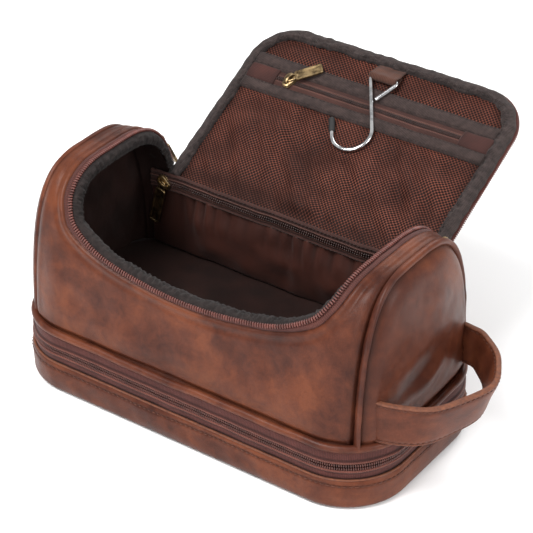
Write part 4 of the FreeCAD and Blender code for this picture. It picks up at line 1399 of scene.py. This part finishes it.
# Name, body and node of the slider, body of the pull, length of the pull, and how the slider lies.
HARDWARE = [
    ("lid_pocket", "lid_pocket_slider", "lid_pocket_slider", "lid_pocket_pull", 22.0, "along_x"),
    ("back_pocket", "back_pocket_slider", "back_pocket_slider", "back_pocket_pull", 30.0, "along_x"),
    ("main_left", "body", "main_slider_left", "main_pull_left", 24.0, "straight"),
    ("main_right", "body", "main_slider_right", "main_pull_right", 24.0, "straight"),
    ("bottom", "tray", "bottom_slider", "bottom_pull", 22.0, "across"),
]


def inset_stack(outline, rows):
    """A bevelled plate: rings of the outline, each moved in by an inset and set at a height, and closed."""
    t = tangents(outline, True)
    inward = np.stack([-t[:, 1], t[:, 0]], 1)
    if ((outline.mean(0) - outline) * inward).sum() < 0:
        inward = -inward
    n = len(outline)
    around = [(j, (j + 1) % n) for j in range(n)]
    verts = [(*p, z) for inset, z in rows for p in outline + inward * inset]
    starts = range(0, (len(rows) - 1) * n, n)
    faces = [(i + j, i + k, i + n + k, i + n + j) for i in starts for j, k in around]
    for i, order in ((0, -1), (len(rows) - 1, 1)):
        faces += [(len(verts), i * n + j, i * n + k)[::order] for j, k in around]
        verts.append((*np.mean(outline, 0), rows[i][1]))
    return np.array(verts, float), faces


def rounded_box(x0, x1, half, radius, count=7):
    points = []
    for cx, cy, start in ((x1 - radius, half - radius, 0), (x0 + radius, half - radius, 90),
                          (x0 + radius, radius - half, 180), (x1 - radius, radius - half, 270)):
        turn = np.radians(start + np.linspace(0, 90, count))
        points.append(np.stack([cx + radius * np.cos(turn), cy + radius * np.sin(turn)], 1))
    return np.vstack(points)


def placed(name, parts, origin, x, y, z):
    """Brass parts as one piece, with their axes along x, y and z."""
    verts, faces = [], []
    for v, f in parts:
        faces += [[i + len(verts) for i in face] for face in f]
        verts += v.tolist()
    v = np.array(verts)
    piece = make_mesh(name, origin + v[:, :1] * x + v[:, 1:2] * y + v[:, 2:] * z, faces, BRASS)
    piece.modifiers.new("corners", "EDGE_SPLIT").split_angle = SHARP_FROM
    return piece


def bar_loop(points, width, thick, closed=False):
    """A flat bar along points in the XZ plane, or in XY when it is closed."""
    run = tangents(points, closed)
    plane = np.array([0, 0, 1.0] if closed else [0, 1.0, 0])
    section = ring_section(thick / 2, width / 2, 10, 3.5)
    verts = swept(points, unit(np.cross(plane, run)), same(plane, run), section).reshape(-1, 3)
    faces = grid_index(len(section), len(points), (True, closed))[0].tolist()
    if not closed:
        starts = [k * len(points) for k in range(len(section))]
        faces += [starts, [k + len(points) - 1 for k in starts][::-1]]
    return verts, faces


def slider_parts(turn):
    plates = [inset_stack(SLIDER, rows) for rows in (SLIDER_TOP, SLIDER_UNDER)]
    c, s = math.cos(turn), math.sin(turn)
    rotation = np.array([[c, s, 0], [-s, c, 0], [0, 0, 1]])
    return [(v @ rotation, f) for v, f in (*plates, bar_loop(spline(BRIDGE, 5), 2.3, 0.9))]


def pull_parts(length):
    """A link from the slider's bridge and a tab with a raised border."""
    ring = rounded_box(-1.1, 5.2, 1.9, 1.6)
    link = bar_loop(np.column_stack([ring, np.zeros(len(ring))]), 1.1, 0.95, closed=True)
    knob = bead(0.9, TAB_HALF * 0.75, 0.85, 10, 4, 2.2)
    knob[0][:, 0] += 5.4
    return [link, inset_stack(rounded_box(4.3, length, TAB_HALF, 1.3), TAB), knob]


def pull_frame(pull):
    """Origin at the pull's pin, X along the hanging pull, Y along the pin and Z away from the tape."""
    joint = next(j for j in frame["joints"] if j["name"] == pull + "_swing")
    origin = np.array(joint["pos_m"]) / MM
    y = -unit(np.array(joint["axis"], float))
    low, high = (np.array(c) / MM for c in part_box(pull))
    x = (low + high) / 2 - origin
    x = unit(x - (x @ y) * y)
    return origin, x, y, np.cross(x, y)


def build_hardware():
    for name, slider_body, slider_node, pull, length, lie in HARDWARE:
        place = pull_frame(pull)
        along_lid = -math.atan2(LID_X @ place[2], LID_X @ place[1])
        turns = {"along_x": along_lid, "across": math.pi / 2, "straight": 0}
        slider = placed(name + "_zip_slider", slider_parts(turns[lie]), *place)
        dress(slider, "brass", slider_node, body=slider_body)
        dress(placed(name + "_zip_pull", pull_parts(length), *place), "brass", pull, body=pull)


# ---------------------------------------------------------------- room

# Name, place, size and power of the lamps, which all face the bag's middle.
LAMPS = (("key", (-0.3, -0.85, 1.65), 0.9, 39.0), ("front", (0.6, -1.9, 0.9), 1.1, 13.5),
         ("right", (1.7, 0.1, 0.9), 0.8, 16.0), ("back", (-0.2, 1.5, 1.3), 1.1, 14.0))
MIDDLE = Vector((0, 0, 0.07))
SKY_POWER = 0.58
FLOOR_HALF, FLOOR_Z = 6000, -0.2
CAMERA_PLACE = (0.6067, -0.8337, 0.7523)
CAMERA_TURN = (57.18, 0.0, 35.35)
CAMERA_LENS = 143.97


def hold(name, data, place, turn):
    holder = bpy.data.objects.new(name, data)
    holder.location = place
    holder.rotation_euler = turn
    bpy.context.scene.collection.objects.link(holder)
    return holder


def build_room():
    paper = Shader("floor", Roughness=0.8)
    paper.feed(paper.bsdf.inputs["Base Color"], (0.97, 0.97, 0.97))
    side = np.linspace(-FLOOR_HALF, FLOOR_HALF, 24)
    px, py = np.meshgrid(side, side)
    grid("floor", np.stack([px, py, 0 * px + FLOOR_Z], -1), paper.material, out=UP)

    scene = bpy.context.scene
    scene.world = scene.world or bpy.data.worlds.new("world")
    scene.world.use_nodes = True
    background = scene.world.node_tree.nodes["Background"]
    background.inputs["Color"].default_value = (1, 1, 1, 1)
    background.inputs["Strength"].default_value = SKY_POWER
    for name, place, size, power in LAMPS:
        lamp = bpy.data.lights.new(name, "AREA")
        lamp.size = size
        lamp.energy = power
        hold(name, lamp, place, (MIDDLE - Vector(place)).to_track_quat("-Z", "Y").to_euler())

    scene.view_settings.view_transform = "Standard"
    camera = bpy.data.cameras.new("camera")
    camera.sensor_width = 36
    camera.lens = CAMERA_LENS
    scene.camera = hold("camera", camera, CAMERA_PLACE, [math.radians(v) for v in CAMERA_TURN])


build_tray()
build_bottom_zip()
build_tray_hinge()
build_wrap()
build_lining()
build_end("left")
build_end("right")
build_bottom_piping()
build_rim_zip()
build_flange()
build_pocket_cloth()
build_pocket_zip()
build_handle()
build_lid_leather()
build_lid_zip()
build_lid_binding()
build_lid_net()
build_webbings()
build_lid_pocket()
build_hook()
build_hook_loop()
build_hardware()
board = frame["nodes"]["base_board"].data
board.materials.clear()
board.materials.append(BOARD)
build_room()
